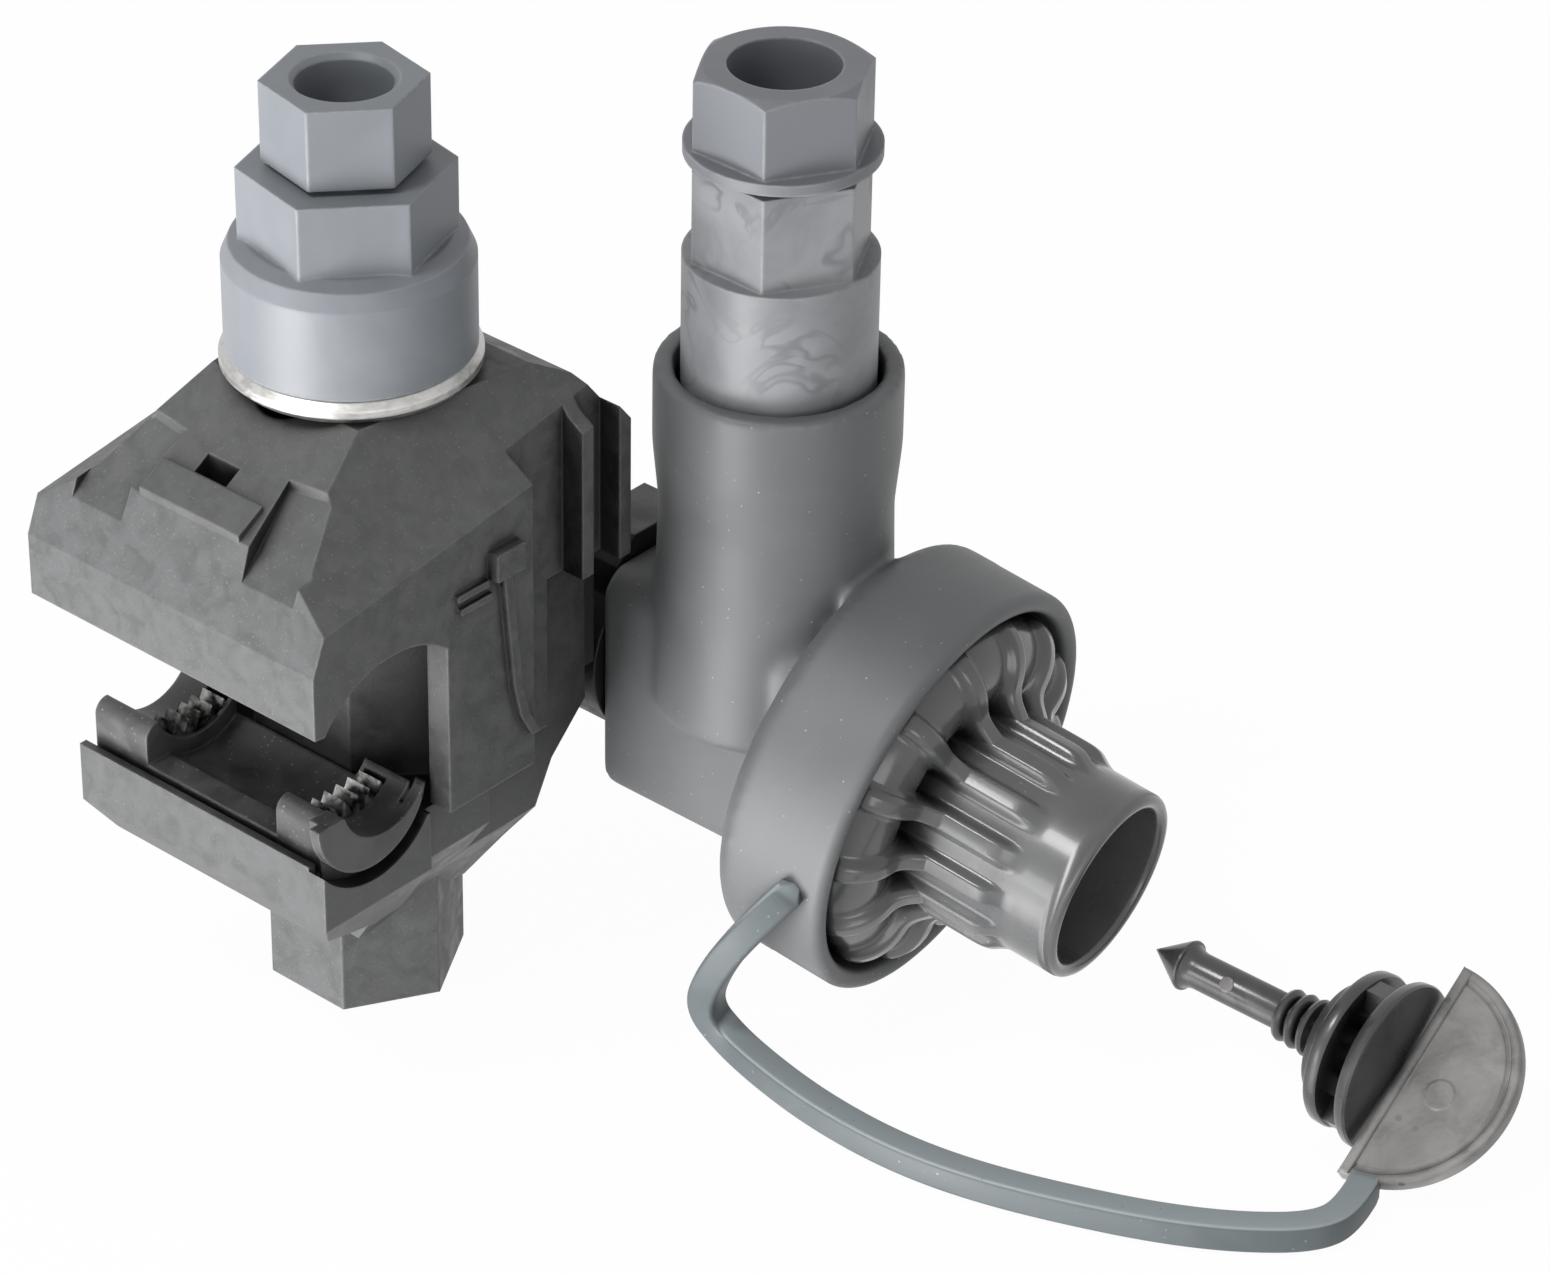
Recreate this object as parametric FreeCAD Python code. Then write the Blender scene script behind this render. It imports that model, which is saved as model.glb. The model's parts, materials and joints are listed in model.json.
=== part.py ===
# Insulation piercing connector with a booted branch terminal.
# Millimetres, +Z up. The origin is on the main bolt's axis, at the foot of the lower jaw's boss.
# +X runs along both cables, towards the branch cable's mouth, and +Y towards the branch terminal.
import FreeCAD
import Part
import math
import os

V = FreeCAD.Vector
UP = V(0, 0, 1)
EAST = V(1, 0, 0)

# Reach of the cuts that go right through
far = 150.0

# Main bolt and its shear nut
bolt_r = 4.0
bolt_hole_gap = 0.5
thread_gap = 0.05
boss_across_flats = 16.4
bolt_head_across_flats = 13.0
bolt_head_height = 5.3
upper_hex_across_flats = 13.0
upper_hex_height = 7.7
shear_neck_r = 5.4
shear_neck_height = 0.6
lower_hex_across_flats = 17.0
lower_hex_height = 6.8
hex_turn = -11.5
nut_collar_r = 11.4
nut_collar_height = 10.9
nut_shoulder = 2.2
socket_r = 4.4
socket_depth = 6.5
insert_across_flats = 13.0
insert_height = 6.5
bolt_end_depth = 1.0

# Washer
washer_r = 11.9
washer_thickness = 2.3
washer_hole_gap = 0.6
washer_edge = 0.8

# Upper jaw: front lip, steep brow, sloping roof, plateau under the washer
jaw_half_length = 18.1
plateau_z = 65.2
upper_front_y = -23.6
upper_front_low = 43.9
upper_front_high = 50.2
brow_y = -20.5
brow_z = 58.0
roof_top_y = -8.5
plateau_rear_y = 10.5
rear_slope_y = 14.0
rear_slope_z = 63.4
rear_y = 20.6
rear_shoulder_z = 55.0
rear_round = 2.4
rear_round_rise = 3.2
skirt_low = 28.0
skirt_wall = 2.6
roof_wall = 5.0
hollow_front_y = -4.0
hollow_flat_half = 9.0
hollow_side_z = 52.0
jaw_travel = 10.0
running_gap = 0.4

# Side slopes of the upper jaw's roof: a place on each plane at +X and its outward direction
hip_place = (18.0, -22.2, 53.9)
hip_normal = (0.62, -0.15, 1.0)
flank_place = (14.0, -14.3, 57.4)
flank_normal = (1.35, -0.2, 1.0)

# Rear part of the upper jaw, narrower than the front, with its fins
waist_y = 4.2
rear_half = 14.8
fin_half = 17.3
fin_thickness = 1.5
fin_low = 44.0
fin_places = [11.6, 16.6]
open_corner_x = 10.4
open_corner_y = 9.5
open_corner_top = 44.0

# Small forms on the upper jaw
pocket_outline = [(7.9, -23.5), (13.9, -23.5), (14.0, -15.6), (10.8, -14.0), (6.4, -14.4)]
pocket_low = 1.1
pocket_depth = 1.0
pocket_slope = 0.8
strip_half = 6.25
strip_height = 0.6
strip_length = 3.0
strip_rise = 1.74
window_low_x = -2.8
window_high_x = 1.2
window_y = -17.1
window_width = 1.8
window_floor = 57.4
end_rib_line = [(0.1, 51.0), (1.4, 38.0), (2.2, 34.6), (3.6, 32.0)]
end_rib_half = 0.55
end_rib_height = 0.8
end_rib_root = 0.4
end_rib_head = 3.6
end_rib_head_top = 53.4
louver_places = [(-6.0, 50.1), (-5.6, 48.6)]
louver_length = 4.0
louver_height = 0.7
louver_rise = 0.5
bolt_slot = 6.0
tab_start = -16.0
tab_end = -7.0
tab_setback = 1.2
tab_thickness = 1.8
tab_height = 2.2

# Groove for the main cable
groove_y = -12.2
groove_z = 37.2
groove_r = 9.4
upper_groove_z = 38.2
arch_y = -13.8
arch_z = 37.6
arch_r = 10.6

# Lower jaw
lower_half_length = 15.9
lower_front_y = -20.9
lower_front_low = 21.0
lower_front_high = 27.2
lip_thickness = 0.8
lip_groove = 0.7
lip_groove_depth = 1.3
chin_back = 2.2
chin_drop = 3.2
tray_floor_y = -10.5
tray_depth = 6.5
tray_corner = 5.0
haunch_z = 9.0
haunch_half = 6.0
haunch_wide_half = 9.5
haunch_wide_z = 13.5
haunch_top_z = 21.5
haunch_back_y = 6.5
haunch_rear_y = 13.0
haunch_rear_z = 26.0
tower_top = 49.0
tower_slope_y = -3.5
tower_flat_half = 9.0
tower_nose_half = 6.2
tower_nose_depth = 9.5
tower_shoulder_z = 39.5

# Rubber saddles, contact blades and the contact bar
seal_half = 14.0
seal_open_end = 15.2
seal_step = 8.4
seal_top = 31.4
seal_round = 1.4
seal_apron_z = 27.4
saddle_y = -12.6
saddle_z = 33.4
saddle_r = 5.6
saddle_middle_r = 7.3
half_collar_y = -14.4
half_collar_z = 31.8
half_collar_r = 6.8
half_collar_end = 15.7
half_collar_thickness = 1.2
half_collar_room = 1.4
lower_seal_low = 23.4
upper_seal_low = 44.2
upper_seal_top = 49.8
upper_seal_reach = 8.0
blade_places = [-10.2, 10.2]
blade_half = 1.4
tooth_height = 1.5
tooth_pitch = 1.5
tooth_count = 5
tooth_sink = 0.3
skirt_behind_blades = 1.55
bar_half = 3.0
bar_low = 19.0
bar_high = 22.4
bar_x = -4.0
bar_hole_gap = 0.6

# Arm that carries the branch terminal
arm_start_x = -9.0
arm_end_x = 2.6
arm_start_y = 10.0
arm_reach_y = 37.9
arm_half_z = 6.0
carrier_r = 9.6
carrier_web_top = 37.5
carrier_web_chamfer = 2.5

# Branch terminal, boot and grommet
branch_x = 22.6
branch_y = 32.4
branch_z = 24.2
block_half_y = 6.4
block_half_z = 7.0
block_crown = 2.0
block_start_x = 11.5
block_end_x = 32.0
tunnel_r = 5.4
tunnel_start_x = 16.5
box_start_x = 8.4
box_wall = 2.0
neck_low = 10.8
neck_high = 35.6
neck_round = 3.0
seat_gap = 0.3
chimney_r = 11.6
chimney_wall = 2.0
chimney_top = 60.3
chimney_waist_r = 11.0
chimney_waist_z = 46.0
chimney_band = 8.0
collar_r = 21.0
collar_wall = 2.1
collar_start = 8.4
collar_end = 21.0
collar_edge = 1.6
collar_floor = 2.6
droop = 9.5
sway = 5.2
bulge_r = 4.6
bulge_ring_r = 13.4
bulge_stand = 1.5
tube_r = 9.6
tube_bore_r = 8.1
tube_end = 39.2
rib_count = 14
rib_phase = 10.0
rib_width = 1.7
rib_rise = 1.1
rib_end = 32.3

# Branch screw and its grey head
head_sleeve_r = 9.05
head_sleeve_low = 37.6
head_sleeve_high = 71.8
head_hex_across_flats = 14.8
head_lower_hex_high = 81.2
head_flange_low = 82.0
head_flange_high = 83.1
head_top = 90.6
head_turn = 59.0
head_bore_r = 5.2
head_bore_depth = 9.0
head_neck_r = 6.2
screw_r = 4.0
screw_low = 31.2
screw_hex = 10.0
screw_top = 50.0
plate_thickness = 1.6
plate_half = 3.4
plate_half_width = 1.6
plate_tooth = 0.9
plate_tooth_count = 4

# Lanyard and plug
strap_width = 3.2
plug_axis_y = 42.0
plug_axis_z = 8.2
plug_tip_x = 62.3
plug_pin_r = 1.8
plug_ring_r = 2.75
plug_ring_count = 3
plug_ring_start = 14.9
plug_ring_pitch = 1.45
plug_disc_r = 8.1
plug_grip_x = 28.4
plug_grip_thickness = 1.8
plug_grip_r = 11.2
plug_grip_tilt = 36.0


def solid_of(shape):
    """One clean solid from a boolean result."""
    shape = shape.removeSplitter()
    solids = sorted(shape.Solids, key=lambda one: one.Volume)
    return solids[-1]


def put(name, shape):
    shape = shape.removeSplitter()
    print(name, "solids", len(shape.Solids), "valid", shape.isValid(), "volume", round(shape.Volume, 1))
    shape.exportStep("parts/" + name + ".step")


def rod(r, low, high, x=0.0, y=0.0):
    return Part.makeCylinder(r, high - low, V(x, y, low), UP)


def rod_x(r, start, end, y, z):
    return Part.makeCylinder(r, end - start, V(start, y, z), EAST)


def block(x0, x1, y0, y1, z0, z1):
    return Part.makeBox(x1 - x0, y1 - y0, z1 - z0, V(x0, y0, z0))


def prism(points, direction):
    """Closed outline pushed along a direction."""
    wire = Part.makePolygon(points + [points[0]])
    return Part.Face(wire).extrude(direction)


def side_profile(points, half):
    """Outline in Y and Z, pushed both ways along X."""
    return prism([V(-half, y, z) for y, z in points], V(2 * half, 0, 0))


def front_profile(points, y0, y1):
    """Outline in X and Z, pushed along Y."""
    return prism([V(x, y0, z) for x, z in points], V(0, y1 - y0, 0))


def hexagon(across_flats, low, high, turn=0.0, x=0.0, y=0.0):
    corner = across_flats / math.sqrt(3.0)
    angles = [math.radians(60 * k + turn) for k in range(6)]
    points = [V(x + corner * math.cos(a), y + corner * math.sin(a), low) for a in angles]
    return prism(points, V(0, 0, high - low))


def turned(points, x=0.0, y=0.0):
    """Outline of radius and height, turned about an upright axis."""
    wire = Part.makePolygon([V(x + r, y, z) for r, z in points] + [V(x + points[0][0], y, points[0][1])])
    return Part.Face(wire).revolve(V(x, y, 0), UP, 360)


def turned_x(points, y, z):
    """Outline of place along X and radius, turned about an axis along X."""
    wire = Part.makePolygon([V(x, y, z + r) for x, r in points] + [V(points[0][0], y, z + points[0][1])])
    return Part.Face(wire).revolve(V(0, y, z), EAST, 360)


def beyond(place, normal):
    """Everything on the outer side of a plane, as a large block."""
    slab = Part.makeBox(2 * far, 2 * far, far, V(-far, -far, 0))
    slab.Placement = FreeCAD.Placement(V(*place), FreeCAD.Rotation(UP, V(*normal)))
    return slab


def mirrored(shape):
    """The same shape on the other side of the bolt, along X."""
    return shape.mirror(V(0, 0, 0), EAST)


def chamfered_hexagon(across_flats, low, high, turn, x=0.0, y=0.0):
    """Hexagon whose upper corners are turned off."""
    corner = across_flats / math.sqrt(3.0)
    dome = turned([(0, low), (corner + 1, low), (corner + 1, high - 1.2), (across_flats / 2, high),
                   (0, high)], x, y)
    return hexagon(across_flats, low, high, turn, x, y).common(dome)


# Places that follow from the driving sizes
blade_span = tooth_count * tooth_pitch
skirt_front_y = groove_y + blade_span / 2 + skirt_behind_blades
tray_rear_y = skirt_front_y - running_gap
tower_front_y = tray_rear_y - 0.5
lower_seal_y0 = lower_front_y + lip_thickness + lip_groove
lower_seal_y1 = tower_front_y - 0.2
upper_seal_y0 = groove_y - upper_seal_reach
upper_seal_y1 = tower_front_y - running_gap
washer_top = plateau_z + washer_thickness
nut_collar_top = washer_top + nut_collar_height
lower_hex_top = nut_collar_top + lower_hex_height
upper_hex_low = lower_hex_top + shear_neck_height
nut_top = upper_hex_low + upper_hex_height
grommet_rim_r = collar_r - collar_wall - seat_gap


def shear_nut():
    """Two hexagons and a round collar in one grey moulding, weak at the neck between the hexagons."""
    collar = turned([(0, washer_top), (nut_collar_r, washer_top),
                     (nut_collar_r, nut_collar_top - nut_shoulder),
                     (nut_collar_r - 0.7, nut_collar_top - 0.6),
                     (nut_collar_r - nut_shoulder, nut_collar_top), (0, nut_collar_top)])
    body = collar.fuse(hexagon(lower_hex_across_flats, nut_collar_top - 0.5, lower_hex_top, hex_turn))
    body = body.fuse(rod(shear_neck_r, lower_hex_top - 0.5, upper_hex_low + 0.5))
    body = body.fuse(hexagon(upper_hex_across_flats, upper_hex_low, nut_top, hex_turn))
    body = body.cut(rod(socket_r, nut_top - socket_depth, nut_top + 1))
    lead = Part.makeCone(socket_r, socket_r + 0.5, 0.5, V(0, 0, nut_top - 0.5), UP)
    body = body.cut(lead)
    pocket = hexagon(insert_across_flats, washer_top - 1, washer_top + insert_height, hex_turn)
    body = body.cut(pocket)
    body = body.cut(rod(bolt_r + bolt_hole_gap, washer_top, nut_top - socket_depth + 0.5))
    return solid_of(body)


def nut_insert():
    """Steel nut moulded into the collar."""
    body = hexagon(insert_across_flats, washer_top, washer_top + insert_height, hex_turn)
    hole = rod(bolt_r + thread_gap, washer_top - 1, washer_top + insert_height + 1)
    return solid_of(body.cut(hole))


def main_washer():
    hole_r = bolt_r + washer_hole_gap
    outline = [(hole_r, plateau_z), (washer_r - washer_edge, plateau_z), (washer_r, plateau_z + washer_edge),
               (washer_r, washer_top - washer_edge), (washer_r - washer_edge, washer_top),
               (hole_r, washer_top)]
    return solid_of(turned(outline))


def main_bolt():
    """Steel bolt with its head held against turning in the boss."""
    head = hexagon(bolt_head_across_flats, 0, bolt_head_height, 0)
    shank = rod(bolt_r, bolt_head_height - 0.5, nut_top - socket_depth - bolt_end_depth)
    return solid_of(head.fuse(shank))


def roof_pocket():
    """Sunk facet beside the strip, at the corner of the brow and the hip."""
    outline = [V(x, y, upper_front_high) for x, y in pocket_outline]
    above = prism(outline, V(0, 0, plateau_z - upper_front_high))
    floor_place = (0, brow_y, brow_z - pocket_low - pocket_depth)
    return above.common(beyond(floor_place, (0, -pocket_slope, 1)))


def end_rib():
    """Raised rib with a square head on the end face, bent round towards the branch at its foot."""
    face = jaw_half_length - end_rib_root
    height = end_rib_height + end_rib_root
    left = [V(face, y - end_rib_half, z) for y, z in end_rib_line]
    right = [V(face, y + end_rib_half, z) for y, z in reversed(end_rib_line)]
    body = prism(left + right, V(height, 0, 0))
    head_y, head_z = end_rib_line[0]
    body = body.fuse(block(face, face + height + 0.5, head_y - end_rib_head / 2, head_y + end_rib_head / 2,
                           head_z - 0.4, end_rib_head_top))
    for y, z in louver_places:
        body = body.fuse(block(face, face + end_rib_root + louver_rise, y, y + louver_length,
                               z, z + louver_height))
    return body


def upper_jaw():
    """Roofed cap with a front lip, two end skirts, a rear skirt with fins and the groove's arch."""
    half = jaw_half_length
    body = side_profile([(upper_front_y, upper_front_low), (upper_front_y, upper_front_high),
                         (brow_y, brow_z), (roof_top_y, plateau_z), (plateau_rear_y, plateau_z),
                         (rear_slope_y, rear_slope_z),
                         (rear_y - rear_round, rear_shoulder_z + rear_round_rise),
                         (rear_y, rear_shoulder_z), (rear_y, skirt_low), (skirt_front_y, skirt_low),
                         (skirt_front_y, upper_front_low - 2.0)], half)
    recess = block(rear_half, half + 1, waist_y, rear_y + 1, skirt_low - 1, plateau_z + 1)
    for y in fin_places:
        recess = recess.cut(block(rear_half - 1, fin_half, y, y + fin_thickness, fin_low, plateau_z))
    shoulder = beyond(hip_place, hip_normal).common(beyond(flank_place, flank_normal))
    for cutter in [recess, shoulder, roof_pocket()]:
        body = body.cut(cutter).cut(mirrored(cutter))
    strip_end = brow_y - 0.1 + strip_length
    strip = side_profile([(brow_y, brow_z - 0.5), (brow_y - 0.1, brow_z + strip_height),
                          (strip_end, brow_z + strip_rise + strip_height),
                          (strip_end + 0.3, brow_z + strip_rise - 0.5)], strip_half)
    body = body.fuse(strip).fuse(end_rib()).fuse(mirrored(end_rib()))
    # Tab under the lip at the far end
    tab_y = upper_front_y + tab_setback
    body = body.fuse(block(tab_start, tab_end, tab_y, tab_y + tab_thickness, upper_front_low - tab_height,
                           upper_front_low + 0.5))
    body = body.cut(block(window_low_x, window_high_x, window_y, window_y + window_width, window_floor,
                          plateau_z))
    # Hollow that slides down over the lower jaw's tower
    inner = half - skirt_wall
    hollow = side_profile([(skirt_front_y - 3.0, skirt_low - 1), (skirt_front_y - 3.0, groove_z + 8.8),
                           (hollow_front_y, plateau_z - roof_wall), (plateau_rear_y, plateau_z - roof_wall),
                           (rear_y - skirt_wall, rear_shoulder_z - 3.0),
                           (rear_y - skirt_wall, skirt_low - 1)], inner)
    roof = front_profile([(-inner, skirt_low - 2), (-inner, hollow_side_z),
                          (-hollow_flat_half, plateau_z - roof_wall + 0.2),
                          (hollow_flat_half, plateau_z - roof_wall + 0.2), (inner, hollow_side_z),
                          (inner, skirt_low - 2)], skirt_front_y - 4, rear_y)
    hollow = hollow.common(roof)
    side_wall = block(rear_half - skirt_wall + 0.2, half, waist_y - skirt_wall, rear_y, skirt_low - 2,
                      plateau_z)
    hollow = hollow.cut(side_wall).cut(mirrored(side_wall))
    body = body.cut(hollow)
    # The skirt is open at the corner next to the branch, so that the tower shows in the gap
    body = body.cut(block(open_corner_x, half + 1, open_corner_y, rear_y + 1, skirt_low - 1,
                          open_corner_top))
    # Notch in the rear skirt that comes down over the arm
    notch_gap = running_gap + 0.2
    body = body.cut(block(arm_start_x - notch_gap, arm_end_x + notch_gap, rear_y - 5, rear_y + 1,
                          skirt_low - 1, branch_z + arm_half_z + jaw_travel + notch_gap))
    hole_r = bolt_r + bolt_hole_gap
    body = body.cut(rod(hole_r, arch_z, plateau_z + 1))
    body = body.cut(rod(hole_r, arch_z, plateau_z + 1, 0, -bolt_slot))
    body = body.cut(block(-hole_r, hole_r, -bolt_slot, 0, arch_z, plateau_z + 1))
    # Arch over the main cable and the recess for the upper seal
    arch = rod_x(arch_r, -half - 1, half + 1, arch_y, arch_z)
    body = body.cut(arch.common(block(-far, far, arch_y - arch_r, skirt_front_y, skirt_low, plateau_z)))
    body = body.cut(block(-seal_half, seal_half, upper_seal_y0, upper_seal_y1, arch_z, upper_seal_top))
    return solid_of(body)


def upper_seal():
    """Rubber saddle in the roof of the groove."""
    body = block(-seal_half, seal_half, upper_seal_y0, upper_seal_y1, upper_seal_low, upper_seal_top)
    body = body.cut(rod_x(groove_r, -far, far, groove_y, upper_groove_z))
    for centre in blade_places:
        body = body.cut(blade_slot(centre))
    return solid_of(body)


def blade_slot(centre):
    return block(centre - blade_half, centre + blade_half, groove_y - blade_span / 2,
                 groove_y + blade_span / 2, 0, far)


def blade(centre, z_edge, z_back, direction):
    """Contact blade with a row of pointed teeth across the cable."""
    y0 = groove_y - blade_span / 2
    points = [(y0, z_back), (y0, z_edge)]
    for k in range(tooth_count):
        points.append((y0 + (k + 0.5) * tooth_pitch, z_edge + direction * tooth_height))
        points.append((y0 + (k + 1) * tooth_pitch, z_edge))
    points.append((y0 + blade_span, z_back))
    body = prism([V(centre - blade_half, y, z) for y, z in points], V(2 * blade_half, 0, 0))
    return solid_of(body)


def half_collar(r, start, end):
    """Half ring under the cable where it leaves the saddle."""
    ring = rod_x(r, start, end, half_collar_y, half_collar_z)
    return ring.common(block(start, end, -far, far, 0, half_collar_z))


def lower_seal():
    """Rubber saddle in the tray: a raised block at each end, deeper between them, and a half collar at +X."""
    body = block(-seal_open_end, seal_half, lower_seal_y0, lower_seal_y1, lower_seal_low, seal_top)
    body = body.makeFillet(seal_round, [e for e in body.Edges if e.BoundBox.ZMin > seal_top - 0.1
                                        and e.BoundBox.YMax < lower_seal_y0 + 0.1])
    body = body.cut(block(-seal_step, seal_step, lower_seal_y0 - 1, saddle_y, seal_apron_z, seal_top + 1))
    body = body.fuse(half_collar(half_collar_r, half_collar_end - half_collar_thickness, half_collar_end))
    body = body.fuse(half_collar(half_collar_r - 1.0, seal_half - 0.5, half_collar_end))
    body = body.cut(rod_x(saddle_r, -far, far, saddle_y, saddle_z))
    body = body.cut(rod_x(saddle_middle_r, -seal_step, seal_step, saddle_y, saddle_z))
    for centre in blade_places:
        body = body.cut(blade_slot(centre))
    return solid_of(body)


def lower_jaw():
    """Front bar, seal tray, tower with the bolt hole, hexagon boss and the arm for the branch."""
    half = lower_half_length
    groove_start = lower_front_y + lip_thickness
    groove_floor = lower_front_high - lip_groove_depth
    tray = side_profile([(lower_front_y, lower_front_low), (lower_front_y, lower_front_high),
                         (groove_start, lower_front_high), (groove_start, groove_floor),
                         (lower_seal_y0, groove_floor), (lower_seal_y0 + 0.1, lower_front_high),
                         (tray_rear_y, lower_front_high), (tray_rear_y, lower_front_low - tray_depth + 0.5),
                         (tray_floor_y, lower_front_low - tray_depth),
                         (lower_front_y + chin_back, lower_front_low - chin_drop)], half)
    tower_half = jaw_half_length - skirt_wall - running_gap
    rear_edge = rear_y - skirt_wall - running_gap
    tower = side_profile([(tower_front_y, haunch_z), (tower_front_y, tower_shoulder_z),
                          (tower_slope_y, tower_top), (tower_flat_half, tower_top),
                          (rear_edge, tower_shoulder_z - 0.5), (rear_edge, haunch_rear_z),
                          (haunch_rear_y, haunch_top_z), (haunch_back_y, haunch_z)], tower_half)
    right_side = [(tower_flat_half, tower_top + 0.5), (tower_half, tower_shoulder_z),
                  (tower_half, haunch_top_z), (haunch_wide_half, haunch_wide_z), (haunch_half, haunch_z - 1)]
    left_side = [(-x, z) for x, z in reversed(right_side)]
    sides = front_profile(left_side + right_side, -far, far)
    chin_z = lower_front_low - tray_depth - 1
    body = tray.common(front_profile([(-half + tray_corner, chin_z), (-half, lower_front_low),
                                      (-half, tower_top), (half, tower_top), (half, lower_front_low),
                                      (half - tray_corner, chin_z)], -far, 0))
    wall_room = rear_half - skirt_wall - running_gap + 0.2
    side_wall = block(wall_room, half + 3, waist_y - skirt_wall - running_gap, rear_y, 0, tower_top + 1)
    nose_corner = prism([V(tower_nose_half, tower_front_y - 1, lower_front_high),
                         V(tower_half + 1, tower_front_y - 1, lower_front_high),
                         V(tower_half + 1, tower_front_y + tower_nose_depth, lower_front_high),
                         V(tower_nose_half, tower_front_y, lower_front_high)], V(0, 0, tower_top))
    tower = tower.common(sides)
    for cutter in [side_wall, nose_corner]:
        tower = tower.cut(cutter).cut(mirrored(cutter))
    body = body.fuse(tower)
    body = body.fuse(hexagon(boss_across_flats, 0, haunch_z + 6, 0))
    # Arm towards the branch terminal
    arm = block(arm_start_x, arm_end_x, arm_start_y, arm_reach_y, branch_z - arm_half_z,
                branch_z + arm_half_z)
    body = body.fuse(arm)
    body = body.cut(rod(bolt_r + bolt_hole_gap, -1, tower_top + 1))
    body = body.cut(hexagon(bolt_head_across_flats, -1, bolt_head_height, 0))
    body = body.cut(block(-half - 1, seal_half, lower_seal_y0, lower_seal_y1, lower_seal_low, tower_top))
    body = body.cut(half_collar(half_collar_r + half_collar_room, seal_half - 0.1, half + 1))
    body = body.cut(contact_bar())
    for centre in blade_places:
        body = body.cut(block(centre - blade_half, centre + blade_half, groove_y - blade_span / 2,
                              groove_y + blade_span / 2, bar_high, tower_top))
    return solid_of(body)


def bar_space(gap):
    """Space for the contact bar, from under the lower blades to the terminal."""
    along = block(bar_x - bar_half - gap, bar_x + bar_half + gap, groove_y - bar_half, branch_y + bar_half,
                  bar_low - gap, bar_high + gap)
    across = block(bar_x, block_start_x, branch_y - bar_half - gap, branch_y + bar_half + gap,
                   bar_low - gap, bar_high + gap)
    return along.fuse(across)


def contact_bar():
    """Metal bar that leads the current from the main cable's blades to the branch terminal."""
    foot = block(blade_places[0] - blade_half, blade_places[1] + blade_half, groove_y - bar_half,
                 groove_y + bar_half, bar_low, bar_high)
    body = bar_space(0.0).fuse(foot)
    return solid_of(body.cut(rod(bolt_r + bolt_hole_gap + bar_hole_gap, bar_low - 1, bar_high + 1)))


def terminal_carrier():
    """Round black collar between the arm and the boot, with a web above it that closes the gap."""
    body = rod_x(carrier_r, arm_end_x, box_start_x, branch_y, branch_z)
    web = block(arm_end_x, box_start_x, branch_y - block_half_y, branch_y + block_half_y, branch_z,
                carrier_web_top)
    top_edges = [e for e in web.Edges if e.BoundBox.ZMin > carrier_web_top - 0.1
                 and e.BoundBox.YLength < 0.1]
    body = body.fuse(web.makeChamfer(carrier_web_chamfer, top_edges))
    body = body.fuse(block(box_start_x - 0.5, block_start_x, branch_y - block_half_y,
                           branch_y + block_half_y, branch_z - block_half_z, branch_z + block_half_z))
    return solid_of(body.cut(bar_space(0.0)))


def terminal_block():
    """Metal block with the branch cable's tunnel and the tapped hole for the clamp screw."""
    body = block(block_start_x, block_end_x, branch_y - block_half_y, branch_y + block_half_y,
                 branch_z - block_half_z, branch_z + block_half_z + block_crown)
    body = body.cut(rod_x(tunnel_r, tunnel_start_x, block_end_x + 1, branch_y, branch_z))
    body = body.cut(rod(screw_r + thread_gap, branch_z, neck_high, branch_x, branch_y))
    return solid_of(body)


def elbow_boot():
    """Soft boot: chimney, box neck and a large drooping collar in one moulding."""
    chimney = turned([(0, branch_z), (chimney_waist_r + 0.6, branch_z), (chimney_waist_r, chimney_waist_z),
                      (chimney_r, chimney_top - chimney_band), (chimney_r, chimney_top), (0, chimney_top)],
                     branch_x, branch_y)
    half_y = block_half_y + seat_gap + box_wall
    neck = block(box_start_x, branch_x + collar_start + 2.0, branch_y - half_y, branch_y + half_y,
                 neck_low, neck_high)
    neck = neck.makeFillet(neck_round, [e for e in neck.Edges if abs(e.Vertexes[0].Y - e.Vertexes[1].Y) < 0.01
                                        and abs(e.Vertexes[0].Z - e.Vertexes[1].Z) < 0.01])
    collar = turned_x([(branch_x + collar_start, 0), (branch_x + collar_start, collar_r - collar_edge),
                       (branch_x + collar_start + collar_edge, collar_r), (branch_x + collar_end, collar_r),
                       (branch_x + collar_end, 0)], branch_y, branch_z)
    collar = drooped(collar)
    body = chimney.fuse(neck).fuse(collar)
    inside = block(box_start_x - 1, block_end_x + 3.0, branch_y - block_half_y - seat_gap,
                   branch_y + block_half_y + seat_gap, branch_z - block_half_z - seat_gap,
                   branch_z + block_half_z + block_crown + seat_gap)
    shaft = rod(chimney_r - chimney_wall, branch_z + block_half_z, chimney_top + 1, branch_x, branch_y)
    floor_x = branch_x + collar_start + collar_floor
    mouth = turned_x([(floor_x, 0), (floor_x, collar_r - collar_wall),
                      (branch_x + collar_end + 1, collar_r - collar_wall), (branch_x + collar_end + 1, 0)],
                     branch_y, branch_z)
    body = body.cut(inside).cut(shaft).cut(drooped(mouth))
    return solid_of(body)


def drooped(shape):
    """The collar and grommet hang down and back a little about the branch screw's axis."""
    pivot = V(branch_x, branch_y, branch_z)
    turned_shape = shape.copy()
    turned_shape.rotate(pivot, V(0, 1, 0), droop)
    turned_shape.rotate(pivot, UP, sway)
    return turned_shape


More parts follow.
